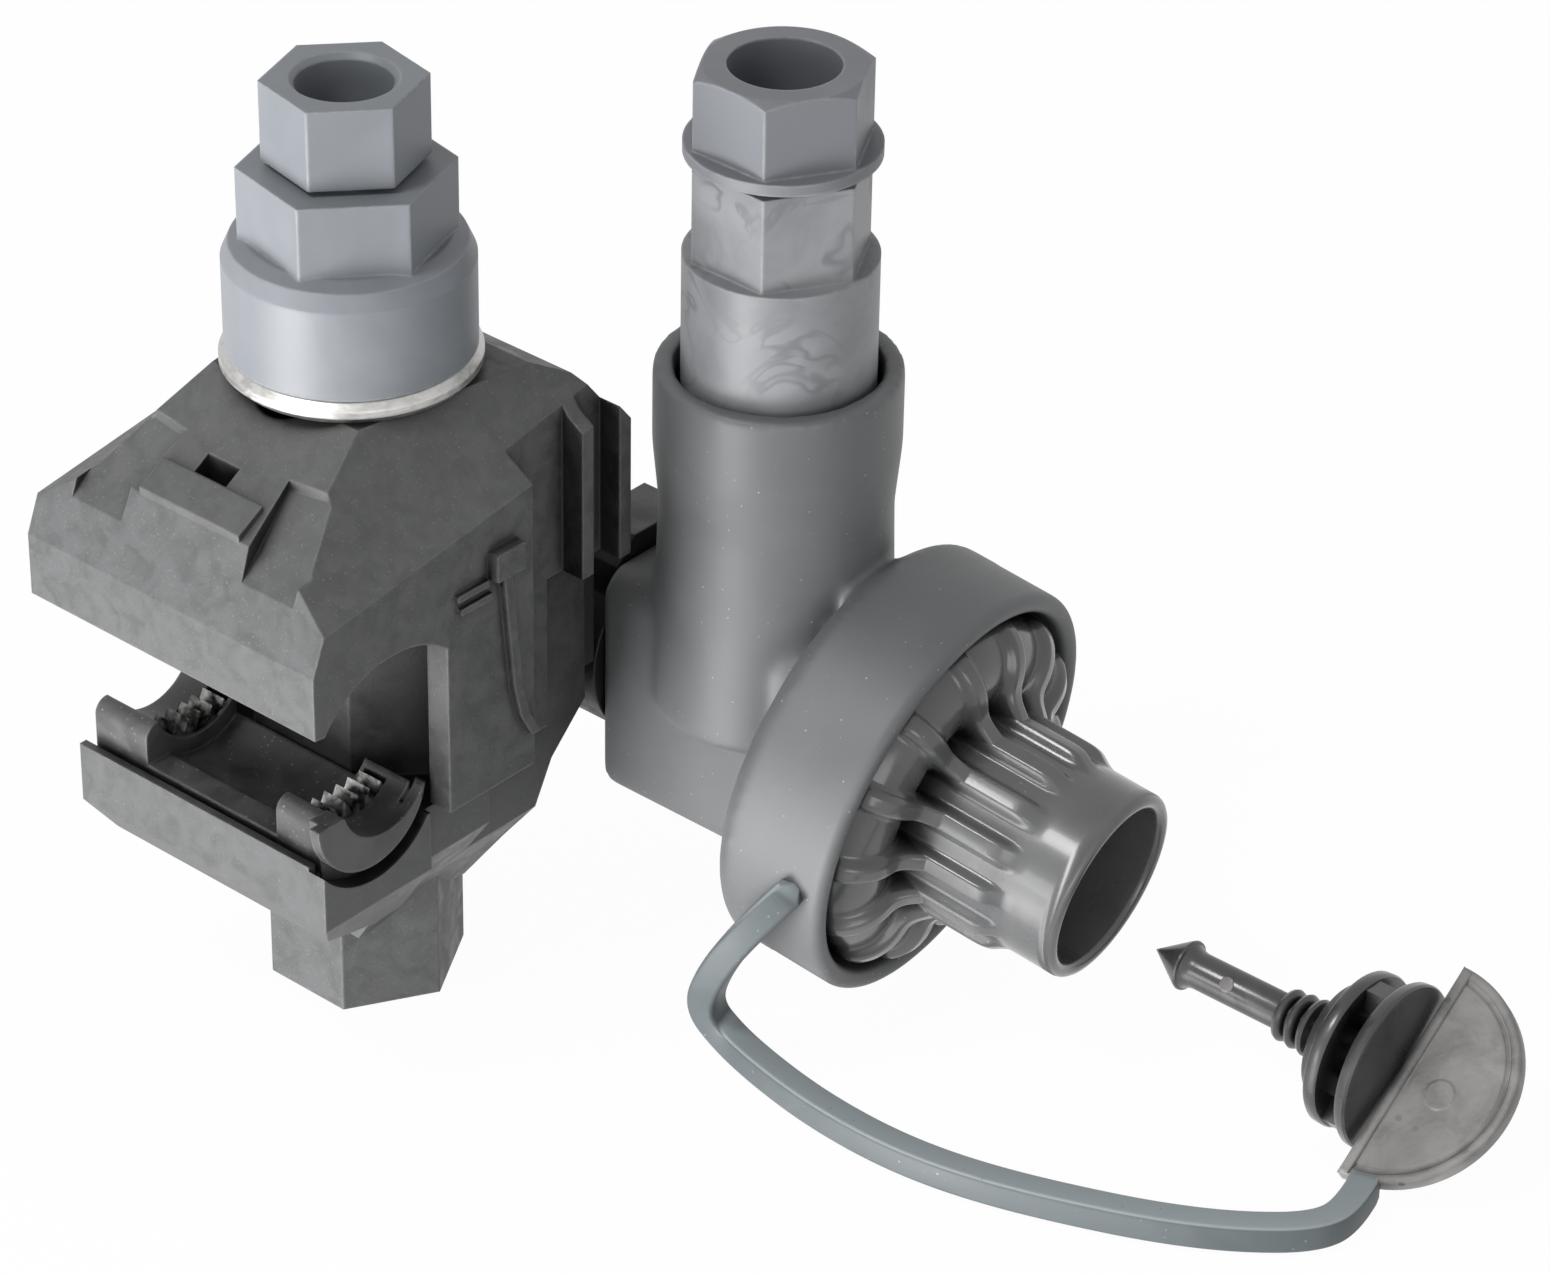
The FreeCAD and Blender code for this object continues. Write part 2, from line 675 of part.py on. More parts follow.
def cable_grommet():
    """Rolled bulge inside the collar, bent ribs and the tube that grips the branch cable."""
    x0 = branch_x + collar_start + collar_floor + 0.4
    bulge_x = branch_x + collar_end - bulge_r + bulge_stand
    body = turned_x([(x0, tube_bore_r), (x0, grommet_rim_r), (x0 + 3.0, grommet_rim_r), (x0 + 3.0, tube_r),
                     (branch_x + tube_end, tube_r), (branch_x + tube_end, tube_bore_r)], branch_y, branch_z)
    ring = Part.makeTorus(bulge_ring_r, bulge_r, V(bulge_x, branch_y, branch_z), EAST)
    body = body.fuse(ring)
    nose = branch_x + rib_end
    top = tube_r + rib_rise
    for k in range(rib_count):
        crest = Part.makeTorus(bulge_ring_r, bulge_r + rib_rise, V(bulge_x, branch_y, branch_z), EAST)
        crest = crest.common(block(bulge_x - 1.0, nose, branch_y - rib_width / 2, branch_y + rib_width / 2,
                                   branch_z + tube_r - 1.0, branch_z + grommet_rim_r))
        foot = prism([V(x, branch_y - rib_width / 2, branch_z + r) for x, r in [
            (bulge_x, tube_r - 0.5), (bulge_x, tube_r + 3.0), (bulge_x + bulge_r - 0.4, tube_r + 3.0),
            (bulge_x + bulge_r + 0.6, tube_r + 1.9), (bulge_x + bulge_r + 2.0, top), (nose - 0.7, top),
            (nose, tube_r + 0.2), (nose, tube_r - 0.5)]], V(0, rib_width, 0))
        rib = crest.fuse(foot)
        rib.rotate(V(0, branch_y, branch_z), EAST, rib_phase + 360.0 * k / rib_count)
        body = body.fuse(rib)
    return solid_of(drooped(body))


def branch_head():
    """Grey plastic shear head: sleeve, hexagon, thin flange and upper hexagon in one moulding."""
    x, y = branch_x, branch_y
    body = rod(head_sleeve_r, head_sleeve_low, head_sleeve_high, x, y)
    body = body.fuse(hexagon(head_hex_across_flats, head_sleeve_high - 0.5, head_lower_hex_high,
                             head_turn, x, y))
    body = body.fuse(rod(head_neck_r, head_lower_hex_high - 0.5, head_flange_low + 0.5, x, y))
    body = body.fuse(rod(head_sleeve_r, head_flange_low, head_flange_high, x, y))
    body = body.fuse(chamfered_hexagon(head_hex_across_flats, head_flange_low, head_top, head_turn, x, y))
    body = body.cut(rod(head_bore_r, head_top - head_bore_depth, head_top + 1, x, y))
    body = body.cut(hexagon(screw_hex, head_sleeve_low - 1, screw_top, head_turn, x, y))
    return solid_of(body)


def branch_screw():
    """Steel clamp screw whose hexagon head sits in the grey sleeve."""
    x, y = branch_x, branch_y
    body = rod(screw_r, screw_low, head_sleeve_low + 0.5, x, y)
    return solid_of(body.fuse(hexagon(screw_hex, head_sleeve_low, screw_top, head_turn, x, y)))


def pressure_plate():
    """Toothed plate under the clamp screw, above the branch conductor."""
    top = screw_low
    base = top - plate_thickness
    pitch = 2 * plate_half / plate_tooth_count
    points = [(-plate_half, top), (plate_half, top), (plate_half, base)]
    for k in range(plate_tooth_count):
        points.append((plate_half - pitch * (k + 0.5), base - plate_tooth))
        points.append((plate_half - pitch * (k + 1), base))
    body = prism([V(branch_x + x, branch_y - plate_half_width, z) for x, z in points],
                 V(0, 2 * plate_half_width, 0))
    return solid_of(body)


def plug():
    """Sealing plug: barbed tip, shaft with bellows rings, two hollow discs and a half-disc grip."""
    x = plug_tip_x
    pin = [(0, 0), (3.6, 2.5), (4.0, 2.4), (4.6, 1.9), (5.2, plug_pin_r)]
    rings = []
    for k in range(plug_ring_count):
        start = plug_ring_start + k * plug_ring_pitch
        rings += [(start, plug_pin_r), (start + 0.4, plug_ring_r), (start + 0.8, plug_ring_r),
                  (start + 1.2, plug_pin_r)]
    discs = [(19.4, 2.1), (20.4, 4.2), (21.3, 5.8), (22.0, 6.0), (22.3, 7.4), (23.0, plug_disc_r),
             (23.7, 7.7), (23.8, 3.6), (26.2, 3.6), (26.3, 7.7), (27.0, plug_disc_r), (28.0, 7.9),
             (28.6, 7.1), (plug_grip_x + 0.4, 0)]
    outline = [(x + along, r) for along, r in pin + rings + discs]
    body = turned_x(outline, plug_axis_y, plug_axis_z)
    grip = Part.makeCylinder(plug_grip_r, plug_grip_thickness,
                             V(x + plug_grip_x, plug_axis_y, plug_axis_z - plug_grip_thickness / 2), UP)
    grip = grip.common(block(x + plug_grip_x, far, -far, far, -far, far))
    grip.rotate(V(x, plug_axis_y, plug_axis_z), EAST, plug_grip_tilt)
    return solid_of(body.fuse(grip))


def strap(points, width):
    """Round stand-in for the flat strap: straight runs joined by arcs as large as the runs allow."""
    edges = []
    start = points[0]
    for before, corner, after in zip(points, points[1:], points[2:]):
        back = (before - corner)
        ahead = (after - corner)
        shorter = min(back.Length, ahead.Length)
        turn = math.pi - back.getAngle(ahead)
        reach = 0.45 * shorter
        radius = reach / math.tan(turn / 2)
        print("strap arc radius", round(radius, 1), "turn", round(math.degrees(turn)))
        back.normalize()
        ahead.normalize()
        first = corner + back * reach
        last = corner + ahead * reach
        bisector = back + ahead
        bisector.normalize()
        middle = corner + bisector * (radius / math.cos(turn / 2) - radius)
        edges.append(Part.LineSegment(start, first).toShape())
        edges.append(Part.Arc(first, middle, last).toShape())
        start = last
    edges.append(Part.LineSegment(start, points[-1]).toShape())
    path = Part.Wire(edges)
    section = Part.Wire(Part.Circle(points[0], points[1] - points[0], width / 2).toShape())
    tube = path.makePipeShell([section], True, True)
    print("strap length", round(path.Length, 1), "volume over section",
          round(tube.Volume / (math.pi * width * width / 4), 1))
    return tube


strap_route = [V(42.2, 13.6, 20.9), V(39.4, 9.8, 16.4), V(36.0, 9.2, 10.6), V(33.6, 10.2, 5.0),
               V(36.2, 11.2, 1.7), V(42.0, 9.7, 1.7), V(48.6, 8.6, 1.7), V(55.6, 8.3, 1.7),
               V(62.0, 8.9, 1.7), V(68.5, 10.5, 1.7), V(75.5, 13.1, 1.7), V(82.7, 16.3, 1.7),
               V(88.8, 20.0, 1.7), V(93.9, 24.6, 1.7), V(94.9, 28.6, 1.8), V(93.0, 33.6, 2.4)]


def lanyard():
    return strap(strap_route, strap_width)


lower_edge = saddle_z - saddle_r + tooth_sink
upper_edge = upper_groove_z + groove_r - tooth_sink

os.makedirs("parts", exist_ok=True)
for name, shape in [
        ("lower_seal", lower_seal()), ("plug", plug()), ("lanyard", lanyard()),
        ("lower_blade_left", blade(blade_places[0], lower_edge, bar_high, 1)),
        ("lower_blade_right", blade(blade_places[1], lower_edge, bar_high, 1)),
        ("upper_blade_left", blade(blade_places[0], upper_edge, upper_seal_top, -1)),
        ("upper_blade_right", blade(blade_places[1], upper_edge, upper_seal_top, -1)),
        ("shear_nut", shear_nut()), ("nut_insert", nut_insert()), ("main_washer", main_washer()),
        ("main_bolt", main_bolt()), ("upper_jaw", upper_jaw()), ("upper_seal", upper_seal()),
        ("lower_jaw", lower_jaw()), ("contact_bar", contact_bar()),
        ("terminal_carrier", terminal_carrier()), ("terminal_block", terminal_block()),
        ("elbow_boot", elbow_boot()), ("cable_grommet", cable_grommet()), ("branch_head", branch_head()),
        ("branch_screw", branch_screw()), ("pressure_plate", pressure_plate())]:
    put(name, shape)
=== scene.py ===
import bpy
import bmesh
import json
import math
from mathutils import Matrix, Vector


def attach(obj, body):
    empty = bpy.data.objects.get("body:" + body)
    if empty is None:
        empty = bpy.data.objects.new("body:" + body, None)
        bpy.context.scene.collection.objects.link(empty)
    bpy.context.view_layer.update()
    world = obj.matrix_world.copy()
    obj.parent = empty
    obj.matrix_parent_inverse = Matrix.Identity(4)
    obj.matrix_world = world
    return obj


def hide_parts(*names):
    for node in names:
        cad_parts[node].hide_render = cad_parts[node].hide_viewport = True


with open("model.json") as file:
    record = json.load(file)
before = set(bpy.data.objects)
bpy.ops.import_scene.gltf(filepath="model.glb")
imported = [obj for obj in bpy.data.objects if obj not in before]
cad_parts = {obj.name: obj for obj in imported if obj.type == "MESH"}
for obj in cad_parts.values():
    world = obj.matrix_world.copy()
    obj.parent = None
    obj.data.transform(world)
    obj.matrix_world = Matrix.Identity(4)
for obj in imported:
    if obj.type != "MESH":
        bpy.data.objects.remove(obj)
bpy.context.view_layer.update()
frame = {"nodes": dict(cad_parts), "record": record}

# %% [markdown]
# The connector arrives as separate CAD nodes, each already in its place. This lesson dresses it.
# The camera and the strap come first, then the soft rubber pieces and the plug, which need rounder
# forms than the solids have, and last one finish for each material of the real connector.

# %% Units and the nodes
MM = 0.001
nodes = frame["nodes"]
print("nodes:", len(nodes))


def mm(x, y, z):
    """A place written in millimetres, given in metres."""
    return Vector((x * MM, y * MM, z * MM))


# %% [markdown]
# The photo was taken from above and in front of the cable mouth, with a fairly long lens.
# A camera is easiest to trust when direction, distance and lens are separate numbers, so its
# place is worked out from a target on the object. The slide keeps the object off the centre.

# %% Camera
FOCAL_PX = 5500.0
PHOTO_WIDTH_PX = 1550
CAMERA_AZIMUTH = math.radians(40.34)
CAMERA_ELEVATION = math.radians(32.55)
CAMERA_ROLL = math.radians(1.15)
CAMERA_DISTANCE = 504.48 * MM
CAMERA_SLIDE = (17.03 * MM, -8.31 * MM)
camera_target = mm(15, 15, 45)

back = Vector((math.sin(CAMERA_AZIMUTH) * math.cos(CAMERA_ELEVATION),
               -math.cos(CAMERA_AZIMUTH) * math.cos(CAMERA_ELEVATION), math.sin(CAMERA_ELEVATION)))
level = Vector((math.cos(CAMERA_AZIMUTH), math.sin(CAMERA_AZIMUTH), 0))
upright = back.cross(level)
right = math.cos(CAMERA_ROLL) * level + math.sin(CAMERA_ROLL) * upright
up = -math.sin(CAMERA_ROLL) * level + math.cos(CAMERA_ROLL) * upright
camera_data = bpy.data.cameras.new("camera")
camera_data.sensor_width = 36.0
camera_data.lens = FOCAL_PX / PHOTO_WIDTH_PX * camera_data.sensor_width
camera_data.clip_start = 0.01
camera_data.clip_end = 20.0
camera = bpy.data.objects.new("camera", camera_data)
bpy.context.scene.collection.objects.link(camera)
camera_place = camera_target + back * CAMERA_DISTANCE + right * CAMERA_SLIDE[0] + up * CAMERA_SLIDE[1]
camera.matrix_world = Matrix.Translation(camera_place) @ Matrix((right, up, back)).transposed().to_4x4()
bpy.context.scene.camera = camera
print("camera at", [round(v, 4) for v in camera_place])

# %% [markdown]
# The strap that keeps the plug is a squared rubber band. A smooth NURBS line holds the route of the
# CAD tube, and it alone is edited when the route changes. A curve's own bevel would twist where the
# band folds under the collar, so the band is swept by hand along the evaluated line.

# %% Strap: its route
BAND_SIDE = 2.86
BAND_CORNER = 0.45
BAND_FOLD = math.radians(50)
END_ROUND = 1.3
END_SHARE = 0.15
strap_route = [(42.2, 13.6, 20.9), (39.4, 9.8, 16.4), (36.0, 9.2, 10.6), (33.6, 10.2, 5.0), (36.2, 11.2, 1.7),
               (42.0, 9.7, 1.7), (48.6, 8.6, 1.7), (55.6, 8.3, 1.7), (62.0, 8.9, 1.7), (68.5, 10.5, 1.7),
               (75.5, 13.1, 1.7), (82.7, 16.3, 1.7), (88.8, 20.0, 1.7), (93.9, 24.6, 1.7), (94.9, 28.6, 1.8),
               (93.1, 34.0, 1.7)]
route_curve = bpy.data.curves.new("strap_route", "CURVE")
route_curve.dimensions = "3D"
route_line = route_curve.splines.new("NURBS")
route_line.points.add(len(strap_route) - 1)
for point, place in zip(route_line.points, strap_route):
    point.co = (*mm(*place), 1.0)
route_line.order_u = 3
route_line.use_endpoint_u = True
route_line.resolution_u = 12
route_object = bpy.data.objects.new("strap_route", route_curve)
bpy.context.scene.collection.objects.link(route_object)
graph = bpy.context.evaluated_depsgraph_get()
route_mesh = bpy.data.meshes.new_from_object(route_object.evaluated_get(graph))
strap_path = [corner.co.copy() for corner in route_mesh.vertices]
bpy.data.objects.remove(route_object)
print("points along the strap", len(strap_path))

# %% [markdown]
# A section swept along a line needs an upright at every point. Carried over from point to point by
# the smallest turn, it never pinches. The carrying starts where the strap lies flat on the table,
# and goes both ways from there, so the flat side stays level on the long run.


# %% Helpers: new pieces and the sweep
def new_piece(name, form):
    """A bmesh becomes a mesh object with its place in its vertices."""
    mesh = bpy.data.meshes.new(name)
    form.to_mesh(mesh)
    form.free()
    made = bpy.data.objects.new(name, mesh)
    bpy.context.scene.collection.objects.link(made)
    return made


def rounded_square(side, corner, steps=4):
    """Corners of a square section with round corners, in metres, anticlockwise."""
    reach = side / 2 - corner
    points = []
    for quarter, (across, along) in enumerate([(1, 1), (-1, 1), (-1, -1), (1, -1)]):
        for k in range(steps + 1):
            angle = math.pi / 2 * (quarter + k / steps)
            points.append(((across * reach + corner * math.cos(angle)) * MM,
                           (along * reach + corner * math.sin(angle)) * MM))
    return points


def swept(form, path, section, start):
    """Sweep a closed section along a path, carrying the upright both ways from the start.
    The section shrinks near both ends, which rounds them."""
    last = len(path) - 1
    tangents = [(path[min(k + 1, last)] - path[max(k - 1, 0)]).normalized() for k in range(len(path))]
    uprights = {start: Vector((0, 0, 1))}
    for step, order in ((-1, range(start + 1, len(path))), (1, range(start - 1, -1, -1))):
        for k in order:
            uprights[k] = tangents[k + step].rotation_difference(tangents[k]) @ uprights[k + step]
    rings = []
    for k, place in enumerate(path):
        across = tangents[k].cross(uprights[k]).normalized()
        depth = min((place - path[0]).length, (place - path[last]).length) / (END_ROUND * MM)
        size = math.sqrt(1 - (1 - min(depth, 1)) ** 2) * (1 - END_SHARE) + END_SHARE
        rings.append([form.verts.new(place + across * a * size + uprights[k] * b * size) for a, b in section])
    for one, two in zip(rings, rings[1:]):
        for k in range(len(section)):
            form.faces.new((one[k], one[k - 1], two[k - 1], two[k]))
    form.faces.new(rings[0])
    form.faces.new(rings[-1])


# %% [markdown]
# The band is 2.86 mm on each side, which gives it the section of the round CAD tube. Its edges are
# only a little rounded, and the photo shows them as two clear planes of light and shade.

# %% Strap: the band
strap_form = bmesh.new()
swept(strap_form, strap_path, rounded_square(BAND_SIDE, BAND_CORNER), len(strap_path) // 2)
bmesh.ops.recalc_face_normals(strap_form, faces=strap_form.faces)
strap = new_piece("strap", strap_form)
strap.data.shade_smooth()
strap.data.set_sharp_from_angle(angle=BAND_FOLD)
print("strap faces", len(strap.data.polygons))
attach(strap, "lower")
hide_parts("lanyard")

# %% [markdown]
# The plug is one glossy moulding of round forms: a barbed tip, a pin, three bellows rings and two
# discs with a hollow between them. Each is a profile spun about the plug's axis. Spinning one
# short profile with bmesh gives clean rings, where a boolean of many discs would leave slivers.

# %% Helpers for spun and boxed forms
PLUG_TIP = (62.3, 42.0, 8.2)
ROUND_STEPS = 64


def spun(form, outline, steps=ROUND_STEPS):
    """Spin an outline of (place along X, radius), in millimetres, about the plug's axis."""
    x0, y0, z0 = PLUG_TIP
    corners = [form.verts.new(mm(x0 + x, y0, z0 + r)) for x, r in outline]
    edges = [form.edges.new(pair) for pair in zip(corners, corners[1:])]
    bmesh.ops.spin(form, geom=corners + edges, cent=mm(x0, y0, z0), axis=(1, 0, 0), angle=math.tau,
                   steps=steps, use_merge=True)
    bmesh.ops.remove_doubles(form, verts=form.verts, dist=1e-6)


def boxed(form, low, high, turn=0.0):
    """A block between two corners, in millimetres, turned about the plug's axis."""
    centre = (Vector(low) + Vector(high)) / 2
    size = Vector(high) - Vector(low)
    place = Matrix.Translation(mm(*PLUG_TIP)) @ Matrix.Rotation(turn, 4, "X")
    place = place @ Matrix.Translation(mm(*centre)) @ Matrix.Diagonal((*(size * MM), 1.0))
    return bmesh.ops.create_cube(form, size=1.0, matrix=place)["verts"]


# %% [markdown]
# A barb needs an undercut, so the tip's profile runs back under its own lip before it meets the pin.
# The rings are half rounds with tight valleys. A loop lays them, because they repeat at one pitch.

# %% Plug: tip, pin and bellows
plug_form = bmesh.new()
BELLOWS_START = 14.9
BELLOWS_PITCH = 1.45
BELLOWS_HALF = 0.6
BELLOWS_FOOT_R = 1.75
BELLOWS_RISE = 0.85
BELLOWS_GROWTH = 0.12
tip_and_pin = [(0.0, 0.0), (0.5, 0.35), (3.5, 2.35), (3.8, 2.5), (4.0, 2.45), (4.1, 2.2), (4.5, 1.95),
               (5.2, 1.8), (14.8, 1.8)]
bellows = []
for ring in range(3):
    start = BELLOWS_START + ring * BELLOWS_PITCH
    rise = BELLOWS_RISE + BELLOWS_GROWTH * ring
    for k in range(7):
        angle = math.pi * k / 6
        bellows.append((start + BELLOWS_HALF - BELLOWS_HALF * math.cos(angle),
                        BELLOWS_FOOT_R + rise * math.sin(angle)))
hub = [(19.3, 1.9), (19.8, 2.5), (20.3, 3.9), (20.6, 5.0), (20.9, 5.5), (21.5, 5.75), (22.0, 5.8),
       (22.15, 6.2), (22.3, 7.0), (22.5, 7.45), (22.7, 7.6), (23.6, 7.65), (23.9, 7.5), (24.0, 7.1),
       (24.0, 3.2), (26.3, 3.2), (26.3, 7.6), (26.4, 8.0), (26.7, 8.2), (27.4, 8.25), (27.65, 8.1),
       (27.75, 7.8), (27.8, 7.4), (28.1, 0.0)]
spun(plug_form, tip_and_pin + bellows + hub)
print("plug faces after the spin", len(plug_form.faces))

# %% [markdown]
# Three small webs bridge the hollow between the discs. They are plain blocks set into the round
# form, as they are set into the real mould.

# %% Plug: webs
WEB_TURNS = (math.radians(-4), math.radians(132), math.radians(-140))
WEB_LOW = (23.8, -1.1, 5.0)
WEB_HIGH = (26.5, 1.1, 7.3)
for turn in WEB_TURNS:
    boxed(plug_form, WEB_LOW, WEB_HIGH, turn)
bmesh.ops.recalc_face_normals(plug_form, faces=plug_form.faces)
plug_body = new_piece("plug_body", plug_form)
print("plug faces with the webs", len(plug_body.data.polygons))

# %% [markdown]
# The grip is half a disc, cut straight beside the discs. It has a bead round its edge, a raised bar
# along the cut and a sunk face. A circle fill is bisected for the half, and inset makes the bead:
# two insets with a small move between them leave the lip, the groove and the sunk face. A low round
# mark stands on the face where the rubber ran into the mould. A round spot on the pin has the same
# rough grey face, so it belongs to this piece.

# %% Plug: half-disc grip
GRIP_R = 11.2
GRIP_TILT = math.radians(36)
GRIP_HALF_THICKNESS = 0.9
GRIP_AWAY = 28.4
GRIP_ROUND = 0.22
BEAD_STEPS = [(0.9, 0.0), (0.12, -0.25), (0.35, 0.0), (0.12, 0.12), (0.25, 0.0)]
BAR_WIDTH = 1.1
BAR_SHORT = 0.2
BAR_THICKNESS = 2.3
BAR_ROUND = 0.3
GATE_PLACE = (4.6, -0.6, GRIP_HALF_THICKNESS - 0.13)
GATE_SIZE = (1.5, 1.4, 0.2)
SPOT_TURN = math.radians(50)
SPOT_PLACE = (9.2, 0, 1.5)
SPOT_SIZE = (0.78, 0.74, 0.72)
RIM_ANGLE = math.radians(60)
PLUG_FOLD = math.radians(35)


def stud(form, size, place, segments):
    """A round stud, given by its radius at the foot and at the top and its height."""
    foot, top, height = (value * MM for value in size)
    bmesh.ops.create_cone(form, cap_ends=True, segments=segments, radius1=foot, radius2=top, depth=height,
                          matrix=place)


grip_place = Matrix.Translation(mm(*PLUG_TIP)) @ Matrix.Rotation(GRIP_TILT, 4, "X")
grip_place = grip_place @ Matrix.Translation(mm(GRIP_AWAY, 0, 0))
grip_form = bmesh.new()
bmesh.ops.create_cone(grip_form, cap_ends=True, segments=96, radius1=GRIP_R * MM, radius2=GRIP_R * MM,
                      depth=2 * GRIP_HALF_THICKNESS * MM)
bmesh.ops.bisect_plane(grip_form, geom=grip_form.verts[:] + grip_form.edges[:] + grip_form.faces[:],
                       plane_co=(0, 0, 0), plane_no=(1, 0, 0), clear_inner=True)
open_edges = [edge for edge in grip_form.edges if len(edge.link_faces) == 1]
bmesh.ops.holes_fill(grip_form, edges=open_edges, sides=0)
for lift in (1, -1):
    grip_form.faces.ensure_lookup_table()
    flat = max(grip_form.faces, key=lambda face: face.normal.z * lift * face.calc_area())
    for inset, sink in BEAD_STEPS:
        bmesh.ops.inset_region(grip_form, faces=[flat], thickness=inset * MM, depth=sink * MM,
                               use_even_offset=True)
rim_edges = [edge for edge in grip_form.edges if edge.calc_face_angle(0) > RIM_ANGLE]
bmesh.ops.bevel(grip_form, geom=rim_edges, offset=GRIP_ROUND * MM, offset_type="OFFSET", affect="EDGES",
                segments=2, profile=0.5, material=-1)
bar_size = Matrix.Diagonal((BAR_WIDTH * MM, 2 * (GRIP_R - BAR_SHORT) * MM, BAR_THICKNESS * MM, 1.0))
bar = bmesh.ops.create_cube(grip_form, size=1.0,
                            matrix=Matrix.Translation(mm(BAR_WIDTH / 2, 0, 0)) @ bar_size)["verts"]
bar_edges = list({edge for vert in bar for edge in vert.link_edges})
bmesh.ops.bevel(grip_form, geom=bar_edges, offset=BAR_ROUND * MM, offset_type="OFFSET", affect="EDGES",
                segments=2, profile=0.5, material=-1)
stud(grip_form, GATE_SIZE, Matrix.Translation(mm(*GATE_PLACE)), 32)
grip_form.transform(grip_place)
spot_place = Matrix.Translation(mm(*PLUG_TIP)) @ Matrix.Rotation(SPOT_TURN, 4, "X")
spot_place = spot_place @ Matrix.Translation(mm(*SPOT_PLACE))
stud(grip_form, SPOT_SIZE, spot_place, 24)
bmesh.ops.recalc_face_normals(grip_form, faces=grip_form.faces)
plug_grip = new_piece("plug_grip", grip_form)
print("grip faces", len(plug_grip.data.polygons))
for piece in (plug_body, plug_grip):
    piece.data.shade_smooth()
    piece.data.set_sharp_from_angle(angle=PLUG_FOLD)
    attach(piece, "lower")
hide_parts("plug")

# %% [markdown]
# Moulded rubber has no sharp inner corner: the chimney runs into the neck and the neck into the
# collar in soft folds. The solids meet in hard lines, so a copy is merged, rebuilt as an even skin
# by a voxel remesh, and then smoothed a little, which melts the corners and keeps the size.


# %% Soft copy of the boot
BOOT_VOXEL = 0.46
BOOT_ROUNDS = 16


def softened(source, name, voxel, rounds, factor=0.5):
    """A merged, remeshed and smoothed copy of a CAD node, which it replaces."""
    form = bmesh.new()
    form.from_mesh(nodes[source].data)
    bmesh.ops.remove_doubles(form, verts=form.verts, dist=1e-6)
    made = new_piece(name, form)
    remesh = made.modifiers.new("skin", "REMESH")
    remesh.mode = "VOXEL"
    remesh.voxel_size = voxel * MM
    smooth = made.modifiers.new("melt", "SMOOTH")
    smooth.factor = factor
    smooth.iterations = rounds
    graph = bpy.context.evaluated_depsgraph_get()
    final = bpy.data.meshes.new_from_object(made.evaluated_get(graph))
    made.modifiers.clear()
    made.data = final
    made.data.shade_smooth()
    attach(made, "lower")
    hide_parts(source)
    print(name, "faces", len(final.polygons))
    return made


soft_boot = softened("elbow_boot", "soft_boot", BOOT_VOXEL, BOOT_ROUNDS)

# %% [markdown]
# The remesh leaves small steps on the collar's oblique rim. The rim is a plain round wall, so each
# vertex near it is laid on that wall's true surface: the nearest place on the wall's middle line,
# plus half the wall outwards. That is a rounded edge without any modelling of the edge itself.

# %% Boot: a true rim
BRANCH = (22.6, 32.4, 24.2)
DROOP = Matrix.Rotation(math.radians(5.2), 4, "Z") @ Matrix.Rotation(math.radians(9.5), 4, "Y")
hanging = Matrix.Translation(mm(*BRANCH)) @ DROOP
standing = hanging.inverted()
COLLAR_R = 21.0
COLLAR_WALL = 2.1
COLLAR_END = 21.0
RIM_SLACK = 0.05
RIM_FROM = 13.5
RIM_NEAR = 1.5
RIM_INNER = 0.2
rim_half = (COLLAR_WALL / 2 - RIM_SLACK) * MM
wall_middle = (COLLAR_R - COLLAR_WALL / 2) * MM
laid = 0
for vertex in soft_boot.data.vertices:
    local = standing @ vertex.co
    radius = math.hypot(local.y, local.z)
    from_wall = radius - wall_middle
    if local.x < RIM_FROM * MM or abs(from_wall) > RIM_NEAR * MM:
        continue
    nearest_x = min(local.x, COLLAR_END * MM - rim_half)
    away = Vector((local.x - nearest_x, from_wall))
    if away.length < RIM_INNER * MM:
        continue
    away = away.normalized() * rim_half
    scale = (wall_middle + away.y) / radius
    vertex.co = hanging @ Vector((nearest_x + away.x, local.y * scale, local.z * scale))
    laid += 1
soft_boot.data.update()
print("vertices laid on the rim", laid)

# %% [markdown]
# The grommet is round but for its ribs, so it is spun from a profile and then the ribs are raised.
# The profile is written twice, plain and over a rib, point for point. Each vertex of the spun form
# moves from its plain place towards its rib place as far as it lies under a rib, which gives ribs
# that run out smoothly on all sides.

# %% Grommet: two profiles
BULGE_X = 17.9
BULGE_RING = 13.4
BULGE_R = 4.6
TUBE_R = 9.6
BORE_R = 8.1
TUBE_END = 39.2
TUBE_EDGE = 0.7
RIB_RISE = 1.1
RIB_END = 31.4
RIB_NOSE = 1.1
TAIL_STEPS = 6


def on_bulge(degrees, rise=0.0):
    """Place along the axis and radius on the rolled bulge, at an angle from its front."""
    angle = math.radians(degrees)
    return (BULGE_X + (BULGE_R + rise) * math.cos(angle), BULGE_RING + (BULGE_R + rise) * math.sin(angle))


def between(first, last, count):
    """Places on a straight line, without the first one."""
    return [tuple(a + (b - a) * k / count for a, b in zip(first, last)) for k in range(1, count + 1)]


def eased(value):
    value = min(max(value, 0.0), 1.0)
    return value * value * (3 - 2 * value)


